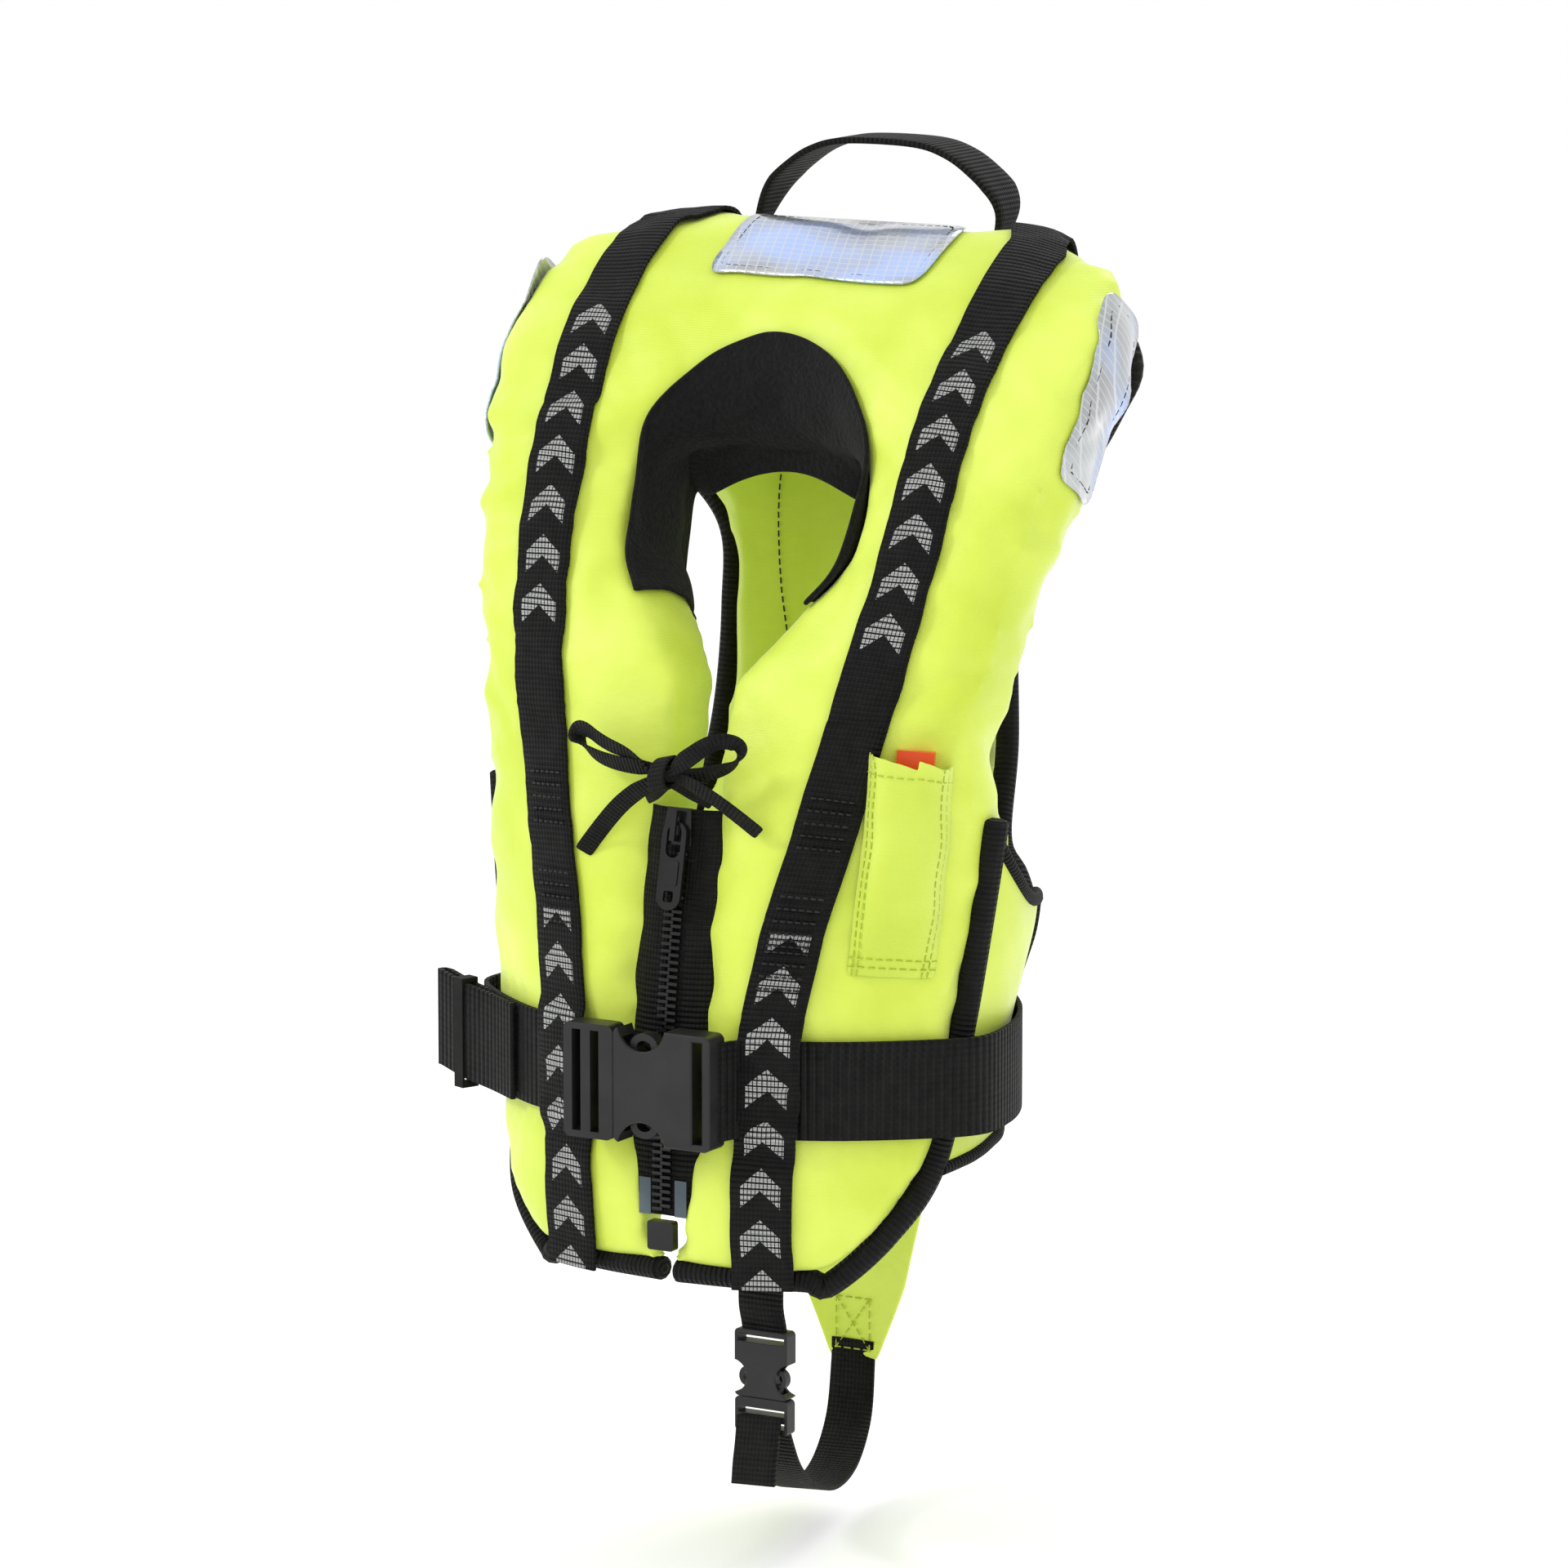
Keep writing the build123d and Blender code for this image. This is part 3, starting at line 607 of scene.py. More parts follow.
def on_profile(length):
    """Point of the front's middle line at a length from the hem, and its outward direction."""
    y, z, tilt = (between(table, PROFILE_LENGTH, length) for table in (PROFILE_Y, PROFILE_Z, PROFILE_TILT))
    tilt = math.radians(tilt)
    return Vector((0, y * MM, z * MM)), Vector((0, -math.cos(tilt), math.sin(tilt)))


def on_front(surface, length, x, lift):
    """Point a height above the front's surface, at a length and an x, with its outward direction."""
    place, out = on_profile(length)
    place.x = x
    place, normal = hit(surface, place + out * 0.09, -out)
    if normal.dot(out) < 0:
        normal = -normal
    return place + normal * lift, normal


BELT_Z = -0.255
BELT_HALF = 0.020
# Half of the belt's line seen from above, from the buckle round the side to the back, millimetres.
BELT_LINE = [(39, -87), (48, -85.6), (72, -75), (98.5, -55.5), (116, -36), (115.5, -12), (108, 12),
             (94.5, 36), (75.5, 58), (46, 75.5), (0, 82)]


def belt_plan(count):
    return smooth_line([(x * MM, y * MM, 0) for x, y in BELT_LINE], count)


def cinch(mesh):
    """Press a soft panel in under the belt, and let it swell again within a short way above and below."""
    recovery, clearance, swell = 0.016, 0.0032, 0.05
    places = coordinates(mesh)
    line = belt_plan(60)
    xs = np.array([p.x for p in line])
    ys = np.array([p.y for p in line])
    for index in np.nonzero(np.abs(places[:, 2] - BELT_Z) < BELT_HALF + recovery)[0]:
        x, y, z = places[index]
        best = int(np.argmin((xs - abs(x)) ** 2 + (ys - y) ** 2))
        radius = np.linalg.norm(np.array([xs[best], ys[best]]))
        reach = np.linalg.norm(np.array([abs(x), y])) / radius
        edge = max(abs(z - BELT_Z) - BELT_HALF, 0) / recovery
        limit = 1 - clearance / radius + swell * edge**1.5
        if reach > limit:
            places[index, :2] *= limit / reach
    store(mesh, places)


def wrinkle(mesh, height):
    """Long soft folds: fine where the cloth bends over the chest and shoulder, calm on the flat fronts."""
    places = coordinates(mesh)
    normals = normals_of(mesh)
    for index, (x, y, z) in enumerate(places):
        side = min(max((abs(x) - 0.055) / 0.05, 0), 1)
        chest = math.exp(-((z + 0.10) / 0.075) ** 2)
        amount = 0.25 + 0.9 * side * chest + 0.35 * math.exp(-((z - 0.03) / 0.05) ** 2)
        across = noise.noise(Vector((x * 10, y * 10, (z + 0.55 * abs(x)) * 42)))
        fine = noise.noise(Vector((x * 26 + 7, y * 26, (z - 0.5 * abs(x)) * 90)))
        valley = noise.noise(Vector((x * 14 - 5, y * 14, (z - 0.8 * abs(x)) * 34)))
        fold = (1 - abs(across)) ** 4 * 0.9 + fine * 0.25 - 0.35 - (1 - abs(valley)) ** 8 * 0.8
        places[index] += normals[index] * height * amount * fold
    store(mesh, places)


def soft_panel(names, voxel, pressure, cap, height):
    """A foam-filled panel from its CAD layers: one skin, rounded, swollen and creased."""
    mesh = remeshed(joined(names), voxel)
    relax(mesh, 7)
    mesh = inflate(mesh, pressure, cap)
    relax(mesh, 2, 0.4)
    mesh.update()
    wrinkle(mesh, height)
    cinch(mesh)
    return mesh


def close_channel(mesh):
    """Bring the two fronts' inner edges back to the zip, after the swelling has rounded them off."""
    reach, slab_height = 40 * MM, 6
    lowest, highest, zip_end = -345, -118, -326
    places = coordinates(mesh)
    for low in range(lowest, highest, slab_height):
        slab = (places[:, 2] >= low * MM) & (places[:, 2] < (low + slab_height) * MM) & (places[:, 1] < -0.03)
        target = 0.0090 if low > zip_end else 0.0025
        for side in (-1, 1):
            away = places[:, 0] * side
            chosen = np.nonzero(slab & (away > 0.0005) & (away < reach))[0]
            if len(chosen) == 0:
                continue
            away = away[chosen]
            edge = away.min()
            if edge > target:
                places[chosen, 0] = side * (target + (away - edge) * (reach - target) / (reach - edge))
    store(mesh, places)
    relax(mesh, 1, 0.3)


def carry_up(mesh):
    """Lead the back panel's top edge, narrowing, up inside the collar that it is sewn to."""
    places = coordinates(mesh)
    share = np.clip((places[:, 2] - 0.002) / 0.020, 0, 1)
    places[:, 2] += share * 0.020
    places[:, 1] += (0.081 - places[:, 1]) * share * 0.75
    store(mesh, places)


VOXEL = 0.0045
VEST_LAYERS = ["outer_shell", "foam_yoke", "foam_front_left", "foam_front_right", "front_lining"]
BACK_LAYERS = ["back_shell", "foam_back", "back_lining"]

vest_mesh = soft_panel(VEST_LAYERS, VOXEL, 3.0, 0.006, 0.0034)
close_channel(vest_mesh)
vest = new_object("vest_front", vest_mesh, YELLOW, "vest")
smooth_surface(vest, 1)
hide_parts(*VEST_LAYERS)
skin = surface_of(vest_mesh)

back_mesh = soft_panel(BACK_LAYERS, VOXEL, 2.0, 0.004, 0.0022)
carry_up(back_mesh)
back = new_object("back_panel", back_mesh, YELLOW, "vest")
smooth_surface(back)
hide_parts(*BACK_LAYERS)
back_skin = surface_of(back_mesh)


# ---- fleece of the neck opening
def length_at(y):
    """Length along the profile where the front's face is at depth y, above the belt."""
    return between(PROFILE_LENGTH[3:], PROFILE_Y[3:], y)


def rim_of_opening():
    """The neck opening's rim on the front's face, from the wearer's right to the left."""
    rim = [(x, between(PROFILE_Y, PROFILE_Z, z)) for z, x in ((-64, 39), (-52, 47.5), (-38, 50), (-22, 51.5))]
    arc_centre, arc_radius, arc_start, arc_turn = -58.3, 66.3, 38, 52
    for step in range(6):
        angle = math.radians(arc_start + arc_turn * step / 5)
        rim.append((arc_radius * math.cos(angle), arc_centre + arc_radius * math.sin(angle)))
    rim = [(-x, y) for x, y in rim[:-1]] + rim[::-1]
    places = []
    for x, y in rim:
        place, _ = on_profile(length_at(y))
        place.x = x * MM
        places.append(place)
    return places


# Section of the fleece: share of its lean, and depth below the panel's face in millimetres.
ROLL = [(-0.20, -1.2), (-0.06, -1.0), (0.10, 1.5), (0.26, 7), (0.45, 15), (0.68, 25), (0.88, 35), (1.0, 44),
        (0.96, 50), (0.72, 55), (0.35, 56)]
# Lean into the opening at the rim's points, in micrometres, which is too little to see.
LEAN = [8, 12, 19, 25, 28, 24.8, 21.6, 18.4, 15.2, 12]
LEAN += LEAN[-2::-1]


def make_fleece():
    """The fleece that lines the neck opening, laid from its rim straight down the panel's inner wall."""
    row_count, column_count = 110, 26
    centre = Vector((0, -0.030, -0.028))
    rows = []
    for number, place in enumerate(smooth_line(rim_of_opening(), row_count)):
        share = number / (row_count - 1)
        _, out = on_profile(length_at(place.y / MM))
        inward = centre - place
        inward = (inward - out * inward.dot(out)).normalized()
        start, _ = hit(skin, place - inward * 0.006 + out * 0.05, -out)
        level = (start - place).dot(out)
        # Round the back of the neck the roll drops straight down, at the front it follows the panel.
        rise = min(max((place.y / MM + 20) / 28, 0), 1)
        deep = (-out).lerp(Vector((0, 0.12, -1)), rise * rise * (3 - 2 * rise)).normalized()
        lean = between(LEAN, np.linspace(0, 1, len(LEAN)), share) * MM
        line = [inward * (into * lean * MM) + deep * (down * MM) for into, down in ROLL]
        section = smooth_line(line, column_count)
        row = []
        for step, offset in enumerate(section):
            depth = step / (column_count - 1)
            crease = abs(noise.noise(Vector((share * 7 + depth * 2.5, depth * 1.6, 4))))
            fold = (0.0035 * math.sin(math.pi * depth)) * (0.5 - min(crease * 3, 1))
            row.append(place + offset + out * level * (1 - depth) ** 2 + inward * fold)
        rows.append(row)
    rows = [[clear_of(skin, place, 0.0022) for place in row] for row in rows]
    relax_rows(rows, 4)
    rows = [[clear_of(skin, place, 0.0018) for place in row] for row in rows]
    fleece = grid_object("fleece_lining", rows, FLEECE, "vest", 0.002, 0.0)
    smooth_surface(fleece)
    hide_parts("neck_fleece")


make_fleece()

# ---- vertical straps
STRAP_HALF = 0.0125
REAR_STRAP_X = 0.05
# The strap's distance from the middle at the profile's stations, millimetres.
STRAP_X = [44, 44, 45, 47, 54, 64, 77, 84, 87, 89, 91, 90, 72]
WEB = 0.0016                  # thickness of the webbing


def strap_row(sign, length, shortest):
    """One row of points across a strap on the front, lifted where the belt passes under it."""
    x = between(STRAP_X, PROFILE_LENGTH, length) * MM
    z = between(PROFILE_Z, PROFILE_LENGTH, length) * MM
    over = min(max((BELT_HALF + 0.010 - abs(z - BELT_Z)) / 0.010, 0), 1)
    lift = 0.0011 + 0.0042 * over * over * (3 - 2 * over)
    # Near the hem the strap hangs straight down from the last full row.
    reach = max(length, shortest)
    down = Vector((0, 0, reach - length))
    middle, middle_normal = on_front(skin, reach, sign * x, lift)
    middle -= down
    row = []
    for column in range(7):
        across = (column / 3 - 1) * STRAP_HALF
        place, _ = on_front(skin, reach, sign * (x + across), lift)
        flat = middle + Vector((sign * across, 0, 0))
        flat -= middle_normal * (flat - middle).dot(middle_normal)
        row.append((place - down).lerp(flat, 0.35))
    return row if sign > 0 else row[::-1]


def make_strap(sign, name, node, rear_node):
    """Webbing from the hem over the belt and the shoulder, and its continuation on the back panel."""
    count = 190
    top = PROFILE_LENGTH[11] + 0.022
    rows = [strap_row(sign, top * step / (count - 1), 0.012) for step in range(count)]
    # Round the collar's back edge.
    last = rows[-1]
    for step in range(1, 19):
        turn = math.radians(24 + 5.5 * step)
        outward = Vector((0, math.sin(turn), math.cos(turn)))
        row = []
        for start in last:
            place, _ = hit(skin, Vector((start.x, 0.068, 0.050)) + outward * 0.08, -outward)
            row.append(place + outward * 0.0016)
        middle = row[3]
        rows.append([place.lerp(Vector((place.x, middle.y, middle.z)), 0.5) for place in row])
    collar_rows = rows[-20:]
    relax_rows(collar_rows, 3)
    rows[-20:] = collar_rows
    strap = grid_object(name, rows, STRAP_CLOTH, "vest", WEB, 1.0)
    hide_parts(node)
    rear = []
    edge_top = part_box(rear_node)[1].z + 0.004
    for step in range(90):
        z = edge_top + (BELT_Z - edge_top) * step / 89
        row = []
        for column in range(7):
            x = sign * REAR_STRAP_X + (column / 3 - 1) * STRAP_HALF
            place, _ = hit(back_skin, Vector((x, 0.2, z)), Vector((0, -1, 0)))
            row.append(Vector((x, place.y + 0.0016, z)))
        rear.append([place.lerp(Vector((place.x, row[3].y, place.z)), 0.6) for place in row])
    relax_rows(rear, 3)
    rear_strap = grid_object(name + "_rear", rear, PLAIN_CLOTH, "vest", WEB, 1.0)
    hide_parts(rear_node)
    return rows


def make_tacks(name, rows, levels):
    """Bar tacks across a strap: close rows of stitches at each level."""
    lines = []
    for level in levels:
        index = min(range(len(rows)), key=lambda i: abs(rows[i][3].z - level) + (rows[i][3].y > 0))
        for step in range(0, 10, 2):
            lines.append([place + Vector((0.0002, -0.0022, 0.0006)) for place in rows[index + step][1:6]])
    stitches(name, lines, THREAD_DARK, length=0.0019, gap=0.0006, width=0.0009)


left_rows = make_strap(1, "strap_over_left", "strap_left", "rear_strap_left")
right_rows = make_strap(-1, "strap_over_right", "strap_right", "rear_strap_right")
make_tacks("tacks_left", left_rows, (-0.158, -0.197, -0.215))
make_tacks("tacks_right", right_rows, (-0.158, -0.197))


def make_panel_seams():
    """Two curved seams on the inner face of the back panel, seen through the neck opening."""
    lines = []
    for sign in (-1, 1):
        line = []
        for step in range(40):
            z = -0.150 + 0.160 * step / 39
            x = 0.024 + 0.014 * math.cos((z + 0.05) / 0.055)
            place, _ = hit(back_skin, Vector((sign * x, -0.02, z)), Vector((0, 1, 0)))
            line.append(place + Vector((0, -0.0007, 0)))
        lines.append(line)
    stitches("panel_seams", lines, THREAD_DARK, width=0.0007)


make_panel_seams()


# ---- belt
def band(name, node, line, body):
    """Belt webbing on edge along a line seen from above."""
    rows = []
    for place in line:
        heights = [BELT_Z + place.z + BELT_HALF * (1 - column / 2) for column in range(5)]
        rows.append([Vector((place.x, place.y, height)) for height in heights])
    piece = grid_object(name, rows, BELT_CLOTH, body, WEB * 1.25)
    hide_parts(node)
    return piece


def make_belt():
    """The belt round the back, and the run from the wearer's right side to the male buckle half."""
    half_line = belt_plan(70)
    whole = half_line + [Vector((-p.x, p.y, 0)) for p in reversed(half_line[:-1])]
    cut = next(index for index, p in enumerate(whole) if p.x < -0.0985 and p.y < -0.04)
    loop = smooth_line([(0.0292, -0.1035, 0), (0.0325, -0.1005, 0), (0.0345, -0.0945, 0)], 8)
    band("belt_round", "belt", loop + whole[:cut + 1], "vest")
    inner = smooth_line([(-0.0345, -0.0945, 0), (-0.0325, -0.0985, 0), (-0.029, -0.1015, 0)], 8)
    run = band("belt_run", "belt_front_run", whole[cut:] + inner, None)
    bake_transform(run)


make_belt()


def make_tail():
    """The belt's spare end, folded back on itself beyond the wearer's right side, and its keeper."""
    route = [(-80.0, -73.5, 0), (-98.0, -61.0, 0), (-116.0, -52.0, 1), (-134.5, -41.5, 3)]
    out = millimetre_line(route, 30)
    fold = [out[-1] + Vector((-0.0022, 0.0012, 0)), out[-1] + Vector((-0.0012, 0.0042, 0))]
    return_run = [p + Vector((0.0015, 0.0046, -0.0005)) for p in reversed(out[12:])]
    band("belt_spare_end", "belt_tail", smooth_line(out + fold + return_run, 70), "vest")
    set_material(nodes["belt_keeper"], PLAIN_CLOTH)


make_tail()

# ---- hardware kept from the frame
KEPT = {
    PLASTIC: ["belt_buckle_female", "belt_buckle_male", "belt_latch_upper", "belt_latch_lower",
              "crotch_buckle_female", "crotch_buckle_male", "crotch_latch_left", "crotch_latch_right"],
    ZIP_PLASTIC: ["zip_teeth_left", "zip_teeth_right", "zip_slider", "zip_pull", "zip_box"],
    FILM: ["zip_film"],
    ORANGE: ["whistle"],
}
BEVELS = {"zip_slider": 0.0005, "zip_pull": 0.0004, "zip_box": 0.0005, "whistle": 0.0012}
BUCKLE_BEVEL = 0.0006
SHARP = ("zip_teeth_left", "zip_teeth_right", "zip_film")
for material, names in KEPT.items():
    for name in names:
        set_material(nodes[name], material)
        if name not in SHARP:
            bevel = nodes[name].modifiers.new("edges", "BEVEL")
            bevel.width = BEVELS.get(name, BUCKLE_BEVEL)
            bevel.segments = 2
            bevel.limit_method = "ANGLE"


# ---- zip tapes
# Section of a tape: distance from the middle of the zip and depth behind its front face, millimetres.
TAPE_SECTION = [(-0.2, 0.6), (4, 0.3), (8, 0.3), (12, 1.2), (16, 3), (22, 6)]


def make_zip_tape(sign, side):
    """The woven tape of one zip half, from the teeth to its seam inside the front."""
    node = f"zip_tape_{side}"
    low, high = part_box(node)
    surface = surface_of(nodes[node].data)
    rows = []
    for step in range(60):
        z = low.z + (high.z - low.z) * (0.01 + 0.98 * step / 59)
        place, _ = hit(surface, Vector((sign * 0.0045, -0.2, z)), Vector((0, 1, 0)))
        rows.append([Vector((sign * x * MM, place.y + deeper * MM, z)) for x, deeper in TAPE_SECTION])
    tape = grid_object(f"tape_of_zip_{side}", rows, PLAIN_CLOTH, "vest", 0.0009, 0.0)
    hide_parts(node)


for side, sign in SIDES:
    make_zip_tape(sign, side)


# ---- bindings
def tube(name, line, radius, squash=1.0):
    """Binding as a round or flattened rod along points, with rounded ends."""
    rows = []
    for index, place in enumerate(line):
        before = line[max(index - 1, 0)]
        after = line[min(index + 1, len(line) - 1)]
        along = (after - before).normalized()
        side = along.cross(Vector((0, -1, 0.15))).normalized()
        up = side.cross(along).normalized()
        rows.append([place + side * (math.cos(a) * radius) + up * (math.sin(a) * radius * squash)
                     for a in (step * math.tau / 12 for step in range(13))])
    for end, neighbour in ((0, 1), (-1, -2)):
        onward = line[end] - line[neighbour]
        shoulder = [line[end].lerp(place, 0.75) + onward * 0.4 for place in rows[end]]
        tip = [line[end] + onward * 0.7] * 13
        rows = [tip, shoulder] + rows if end == 0 else rows + [shoulder, tip]
    return grid_object(name, rows, PLAIN_CLOTH, "vest")


HEM_Y, HEM_Z, HEM_EDGE = -0.0828, -0.3345, 0.0005
HEM_POINTS = ((4, 0), (33, 3.5), (58, 10.5))     # x and how far back the hem has curved, millimetres
# At the profile's first stations: the front's half width, how far back its side has curved, and its depth.
SIDE_EDGE = [(66, 14, 5), (86, 26, 8), (98, 42, 10), (106, 46, 11), (112, 44, 11), (117, 40, 11)]
# The armhole's edge on the back panel, from the gusset up to the collar.
ARMHOLE = [(92, 50, -202), (82, 58, -188), (72, 62, -174), (68, 75, -137), (65.5, 79, -90), (69, 80, -52),
           (101, 77, -18), (118, 73, 6), (124, 76, 22), (116, 80, 38)]


def make_edgings(side, sign):
    """The bindings of one front's hem and side, and of one armhole."""
    route = [(sign * x * MM, HEM_Y + fall * MM, HEM_Z) for x, fall in HEM_POINTS]
    for (y, z, _), (half, fall, depth) in zip(PROFILE, SIDE_EDGE):
        raised = HEM_EDGE if z < -330 else 0
        route.append((sign * (half - 1) * MM, (y + fall + depth) * MM, z * MM + raised))
    edging = tube(f"edging_front_{side}", smooth_line(route, 120), 0.0050, 1.3)
    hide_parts(f"front_binding_{side}")
    rear = [(sign * x * MM, y * MM, z * MM) for x, y, z in ARMHOLE]
    armhole = tube(f"edging_armhole_{side}", smooth_line(rear, 80), 0.0048)
    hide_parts(f"armhole_binding_{side}")


for side, sign in SIDES:
    make_edgings(side, sign)


# ---- side gussets
# At falling heights: x and y of the front edge, x of the middle, x and y of the rear edge, millimetres.
GUSSET_LEVELS = {-158: (116.5, -23, 113, 93, 42), -197: (112.5, -26, 112.5, 98, 46),
                 -240: (107, -29, 104.5, 84, 47), -291: (99, -37, 96, 76, 50)}
GUSSET_MIDDLE_Y = 9
GUSSET_ROWS, GUSSET_COLUMNS = 24, 22
BELT_CLEARANCE = 0.0025


def gusset_point(sign, s, v):
    """Point of a gusset at shares s from front to rear and v from top to bottom."""
    top = -158 - 34 * s - 10 * math.sin(s * math.pi)
    low = -291 + 6 * s
    z = top + (low - top) * v
    heights = sorted(GUSSET_LEVELS)
    columns = zip(*(GUSSET_LEVELS[height] for height in heights))
    front_x, front_y, side_x, rear_x, rear_y = (between(column, heights, z) for column in columns)
    middle_x = 2 * side_x - (front_x + rear_x) / 2
    x = (1 - s) ** 2 * front_x + 2 * s * (1 - s) * middle_x + s * s * rear_x
    y = (1 - s) ** 2 * front_y + 2 * s * (1 - s) * GUSSET_MIDDLE_Y + s * s * rear_y
    x += noise.noise(Vector((s * 2.2, z * 0.055 + s * 1.5, 3))) * 3.4 * math.sin(math.pi * s)
    return Vector((sign * x, y, z)) * MM


def make_gusset(sign, side):
    """A thin wrinkled side panel between a front and the back, bound along its edges."""
    rows = []
    shares = [u / GUSSET_COLUMNS for u in range(GUSSET_COLUMNS + 1)]
    for v in range(GUSSET_ROWS + 1):
        rows.append([gusset_point(sign, share, v / GUSSET_ROWS) for share in shares])
    limit = belt_plan(80)
    for place in (place for row in rows for place in row):
        if abs(place.z - BELT_Z) < BELT_HALF + 0.006:
            nearest = min(limit, key=lambda p: (p.x - abs(place.x)) ** 2 + (p.y - place.y) ** 2)
            if abs(place.x) > nearest.x - BELT_CLEARANCE:
                place.x = sign * (nearest.x - BELT_CLEARANCE)
    relax_rows(rows, 5)
    gusset = grid_object(f"side_{side}", rows, YELLOW, "vest", 0.0009)
    smooth_surface(gusset)
    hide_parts(f"gusset_{side}")
    rear_edge = [row[-1] for row in rows][::4]
    for edge, line in (("top", rows[0]), ("low", rows[-1]), ("rear", rear_edge)):
        tube(f"edging_side_{side}_{edge}", smooth_line(line, 40), 0.0028)


for side, sign in SIDES:
    make_gusset(sign, side)


# ---- crotch flap, strap, tab and tail
FLAP_TOP, FLAP_LENGTH = -288, 116
FLAP_HEIGHTS = [-404, -371, -335, -300, -288]
FLAP_HALVES = [11, 25, 34, 41, 41]
BOX = [(-8, -378), (8, -378), (8, -400), (-8, -400)]      # corners of the sewn box, x and z


def make_flap():
    """The tapered flap below the back panel, with the boxed cross of stitches that holds the crotch strap."""
    rows = []
    for v in range(31):
        z = FLAP_TOP - FLAP_LENGTH * v / 30
        half = between(FLAP_HALVES, FLAP_HEIGHTS, z)
        row = []
        for u in range(17):
            s = u / 8 - 1
            curl = -2.2 * s * s * (half / 30) + 1.2 * noise.noise(Vector((s * 1.4, z * 0.03, 9)))
            row.append(Vector((s * half, 68.4 + curl, z)) * MM)
        rows.append(row)
    flap = grid_object("crotch_tongue", rows, YELLOW, "vest", 0.0022)
    smooth_surface(flap)
    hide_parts("crotch_flap")
    lines = []
    for a, b in ((0, 1), (1, 2), (2, 3), (3, 0), (0, 2), (1, 3)):
        start, end = (Vector((x, 66.6, z)) * MM for x, z in (BOX[a], BOX[b]))
        lines.append([start, (start + end) / 2, end])
    stitches("box_stitch", lines, THREAD_YELLOW)


make_flap()


CROTCH_HALF = 0.010
CROTCH_ROUTE = [(39, -72.5, -397), (36, -58, -417), (29, -32, -432), (20, 0, -441), (11, 32, -440),
                (4, 56, -427), (0, 66.8, -407), (0, 67.2, -396)]
TAB_ROUTE = [(40.5, -80, -338), (40, -79, -346), (40, -77, -353), (40, -75.5, -358.5)]
TAIL_ROUTE = [(40, -80.6, -391), (39.4, -81.2, -402), (38.2, -81, -411), (37, -80, -420)]


def crotch_ribbon(name, node, route, count, body, bow=0.0, rise=0.0):
    """Flat webbing through points in millimetres, its width along X, turned by a bow or a rise."""
    rows = []
    for step, place in enumerate(millimetre_line(route, count)):
        side = Vector((1, bow * math.sin(math.pi * step / (count - 1)), rise)).normalized()
        rows.append([place + side * (CROTCH_HALF * (1 - column / 2)) for column in range(5)])
    piece = grid_object(name, rows, PLAIN_CLOTH, body, WEB, 0.0)
    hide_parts(node)
    return piece


strap = crotch_ribbon("crotch_webbing", "crotch_strap", CROTCH_ROUTE, 70, None, bow=0.25)
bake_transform(strap)
crotch_ribbon("crotch_tab_webbing", "crotch_tab", TAB_ROUTE, 20, "vest")
crotch_ribbon("crotch_tail_webbing", "crotch_tail", TAIL_ROUTE, 24, "crotch_male", rise=0.05)

# ---- grab handle
# Half of the handle's arch, from its foot in the collar to its top, millimetres.
HANDLE_HALF = [(55, 83, 62), (56.5, 88, 70), (56, 95, 80), (52, 97.5, 88), (44, 98, 95.5), (32, 98, 103),
               (16, 98, 107)]
HANDLE = [(-x, y, z) for x, y, z in HANDLE_HALF] + HANDLE_HALF[::-1]


def make_handle():
    """The grab handle, folded narrow towards its feet."""
    rows = []
    for place in millimetre_line(HANDLE, 80):
        fold = min(max((place.z - 0.060) / 0.030, 0.35), 1)
        rows.append([place + Vector((0, STRAP_HALF * fold * (1 - column / 2), 0)) for column in range(5)])
    handle = grid_object("handle_webbing", rows, PLAIN_CLOTH, None, WEB * 1.6)
    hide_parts("grab_handle")
    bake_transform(handle)


make_handle()


# ---- patches
def rounded(u, v, half_u, half_v, corner):
    """Pull a unit-square point in to a rectangle with round corners."""
    x, y = u * half_u, v * half_v
    over_x = abs(x) - (half_u - corner)
    over_y = abs(y) - (half_v - corner)
    if over_x > 0 and over_y > 0:
        size = max(over_x, over_y)
        length = math.hypot(over_x, over_y)
        x = math.copysign(half_u - corner + over_x * size / length, x)
        y = math.copysign(half_v - corner + over_y * size / length, y)
    return x, y


def make_patch(name, node, origin, right, up, half_u, half_v):
    """A reflective patch pressed on the shell, with its row of stitches."""
    away = right.cross(up).normalized()
    depth = (hit(skin, origin + away * 0.05, -away)[0] - origin).dot(away)
    deepest, seam = 0.004, 0.0045

    def lie(x, y, lift):
        """Point on the shell, kept from falling away from the patch's middle by more than the deepest dip."""
        place, normal = hit(skin, origin + right * x + up * y + away * 0.05, -away)
        if normal.dot(away) < 0:
            normal = -normal
        sunk = depth - (place - origin).dot(away)
        return place + normal * lift + away * max(sunk - deepest, 0)

    rows = []
    for v in range(19):
        rows.append([lie(*rounded(u / 14 - 1, v / 9 - 1, half_u, half_v, 0.008), 0.0012) for u in range(29)])
    relax_rows(rows, 3)
    patch = grid_object(name, rows, REFLECTIVE, "vest", 0.0006, 1.0)
    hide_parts(node)
    ring = []
    for step in range(49):
        angle = step / 48 * math.tau
        size = max(abs(math.cos(angle)), abs(math.sin(angle)))
        spot = rounded(math.cos(angle) / size, math.sin(angle) / size, half_u - seam, half_v - seam, 0.005)
        ring.append(lie(*spot, 0.0016))
    stitches(name + "_stitch", [ring], THREAD_DARK, width=0.0005)


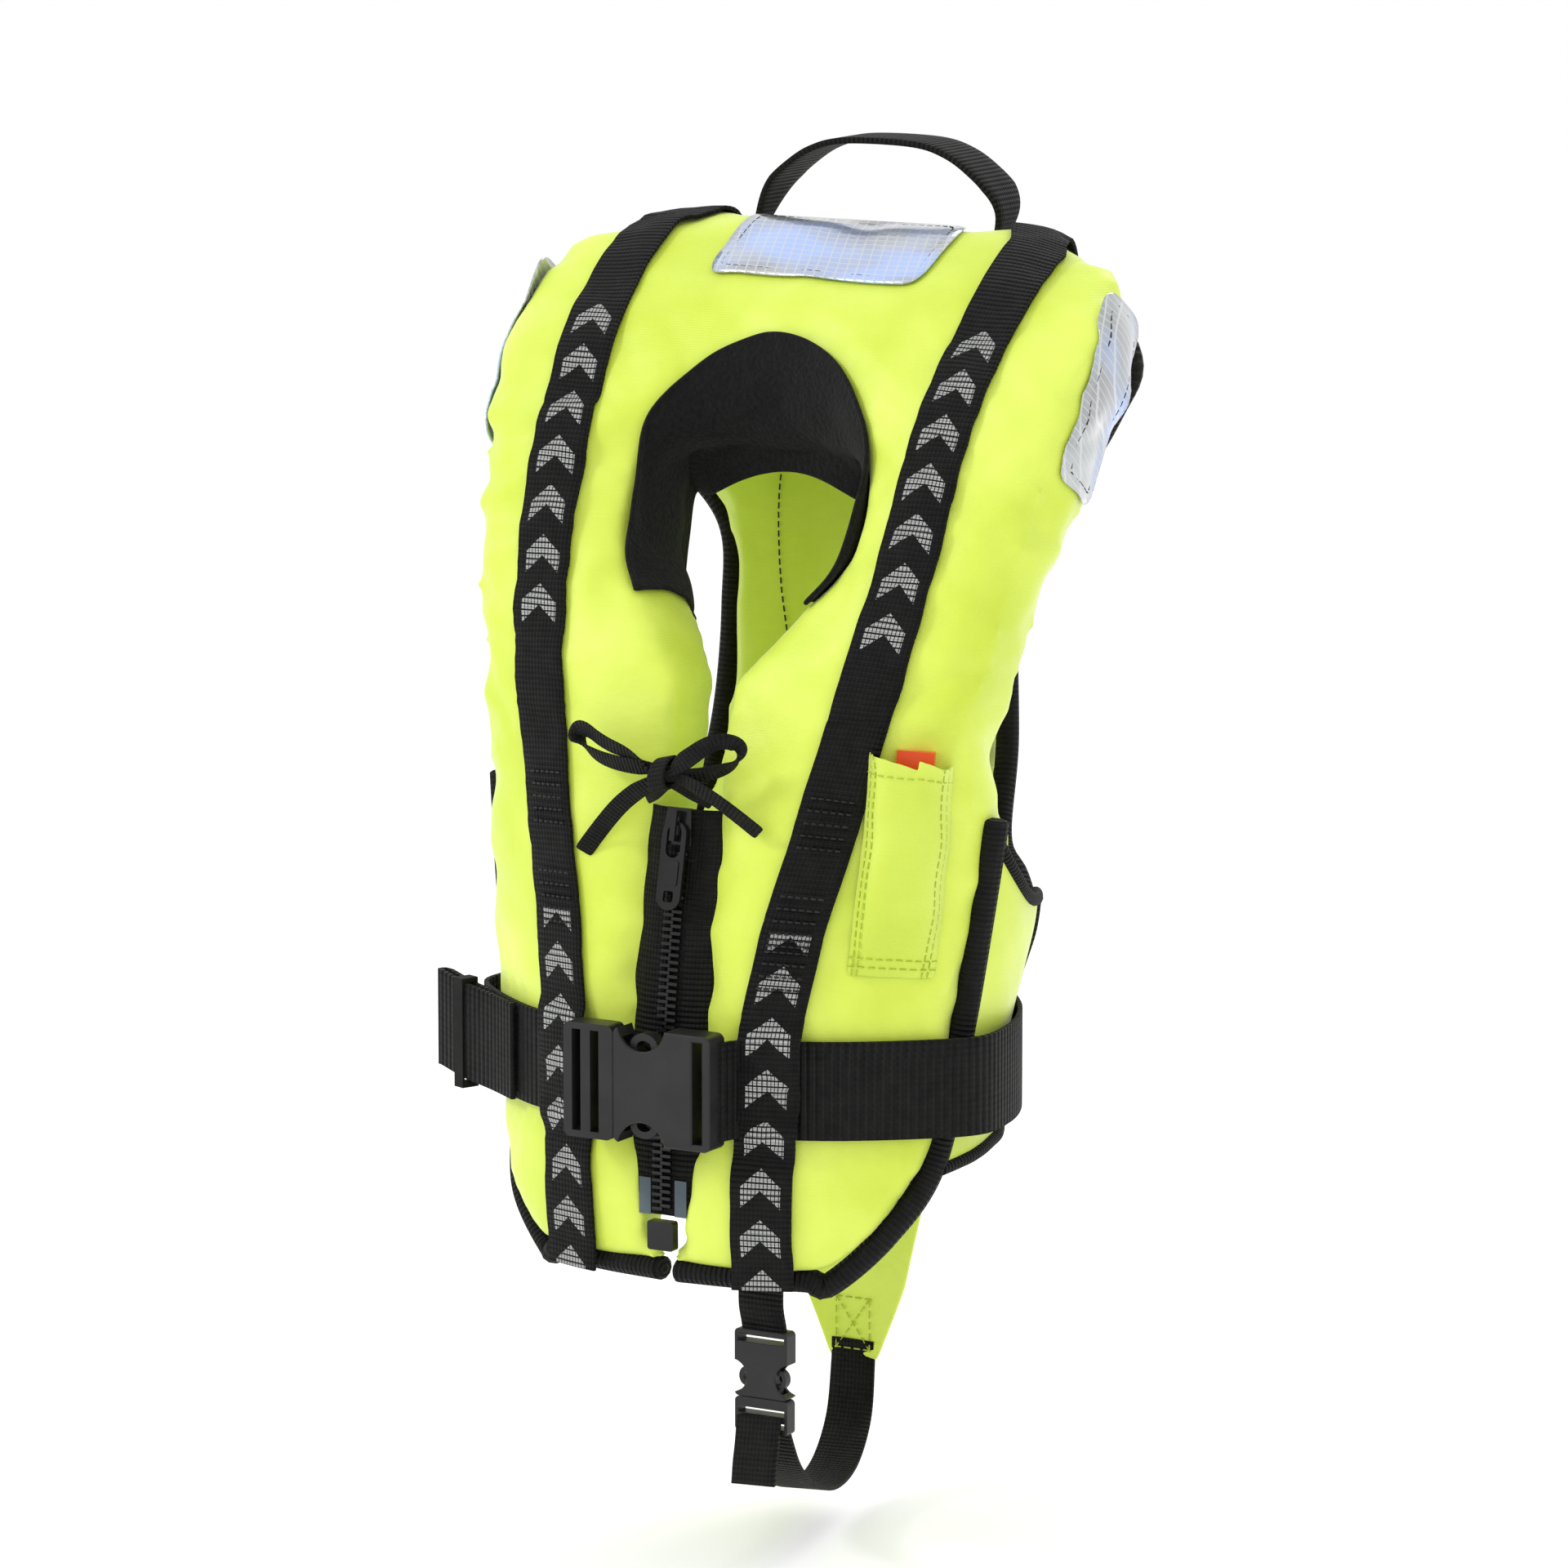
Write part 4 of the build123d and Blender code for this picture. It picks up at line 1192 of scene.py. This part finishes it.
make_patch("patch_back_of_neck", "patch_collar", Vector((0, 0.052, 0.068)), Vector((1, 0, 0)),
           Vector((0, 0.9, 0.436)).normalized(), 0.050, 0.025)
FORWARD = Vector((0, -0.55, -0.83)).normalized()
UPWARD = Vector((0, 0.83, -0.55)).normalized()
for side, sign in SIDES:
    make_patch(f"patch_arm_{side}", f"patch_shoulder_{side}", Vector((sign * 0.15, 0.029, 0.015)),
               FORWARD, UPWARD * sign, 0.042, 0.016)


# ---- whistle pocket
def make_pocket():
    """A thin pocket on the wearer's left front, standing off for the whistle."""
    low, high = 0.131, 0.222          # lengths from the hem of its bottom and its mouth
    row_count, column_count = 25, 17
    rows = []
    for v in range(row_count):
        share = v / (row_count - 1)
        length = low + (high - low) * share
        left = between([75, 79], [low, high], length)
        right = between([103, 108], [low, high], length)
        row = []
        for u in range(column_count):
            s = u / (column_count - 1)
            bulge = min(math.sin(math.pi * s) * 2.2, 1) ** 0.8 * min(v / 6, 1)
            ripple = 0.0008 * noise.noise(Vector((s * 3, length * 60, 1)))
            lift = 0.0010 + (0.0115 + 0.0022 * share**3) * bulge + ripple
            place, _ = on_front(skin, length, (left + (right - left) * s) * MM, lift)
            row.append(place)
        rows.append(row)
    relax_rows(rows, 8)
    pocket = grid_object("pocket", rows, POCKET, "vest", 0.0006)
    smooth_surface(pocket)
    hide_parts("whistle_pocket")
    out = Vector((0.3, -0.9, 0.2)) * 0.0009
    lines = [[row[column] + out for row in rows] for column in (1, 2, 14, 15)]
    lines += [[place + out for place in rows[index]] for index in (1, 2, 22)]
    stitches("pocket_stitch", lines, THREAD_YELLOW, width=0.0005)


make_pocket()

# ---- ties
TIE_LEFT = [
    (16, -75, -143), (8, -81, -138), (-1, -87.5, -132.5), (12, -91, -124), (24, -88, -115), (33, -82, -117),
    (30, -81, -126), (16, -86, -131), (3, -90, -130.5), (-13, -88, -139), (-28, -83.5, -151),
    (-43, -79, -168),
]
TIE_RIGHT = [
    (-16, -75, -143), (-8, -81, -139.5), (1, -84.5, -134), (-14, -86, -125), (-29, -85, -121.5),
    (-42, -80, -116), (-48, -77, -121), (-38, -79, -128), (-20, -84, -130), (-2, -86.5, -129),
    (14, -88.5, -134), (28, -86, -142), (40, -80, -153),
]
TIE_WIDTH = 0.0078


def make_tie(name, node, route):
    """A flat braided tape along its route, its width turned upright, and pinched at the knot."""
    data = bpy.data.curves.new(name + "_line", "CURVE")
    data.dimensions = "3D"
    spline = data.splines.new("NURBS")
    spline.points.add(len(route) - 1)
    for point, place in zip(spline.points, route):
        point.co = (*[value * MM for value in place], 1)
    spline.order_u = 3
    spline.use_endpoint_u = True
    spline.resolution_u = 10
    guide = bpy.data.objects.new(name + "_line", data)
    scene.collection.objects.link(guide)
    line = [Vector(v.co) for v in baked(guide).vertices]
    bpy.data.objects.remove(guide)
    rows = []
    side = Vector((0, -0.35, 1)).normalized()
    wanted = Vector((0.15, -0.45, 0.9))
    for index, place in enumerate(line):
        along = (line[min(index + 1, len(line) - 1)] - line[max(index - 1, 0)]).normalized()
        fresh = (wanted - along * wanted.dot(along)).normalized()
        side = (side - along * side.dot(along)).normalized().lerp(fresh, 0.2).normalized()
        pinch = 0.55 + 0.45 * min(Vector((place.x, place.y + 0.087, place.z + 0.131)).length / 0.014, 1)
        rows.append([place + side * (TIE_WIDTH / 2 * pinch * (1 - column / 2)) for column in range(5)])
    tape = grid_object(name, rows, BRAID, "vest", 0.0011, 0.0)
    smooth_surface(tape)
    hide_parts(node)


make_tie("tie_tape_left", "tie_left", TIE_LEFT)
make_tie("tie_tape_right", "tie_right", TIE_RIGHT)


def make_knot():
    """The bow's knot: a short wrap of tape round the crossing."""
    rows = []
    for step in range(25):
        angle = step / 24 * math.tau
        y = -87 + 5.0 * math.sin(angle + 0.4)
        z = -131 + 6.2 * math.cos(angle)
        skew = 1.2 * math.sin(angle)
        rows.append([Vector((across * 2.0 + skew, y, z + across * 0.5)) * MM for across in range(-2, 3)])
    knot = grid_object("tie_wrap", rows, BRAID, "vest", 0.0014, 0.0)
    smooth_surface(knot)
    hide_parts("tie_knot")


make_knot()
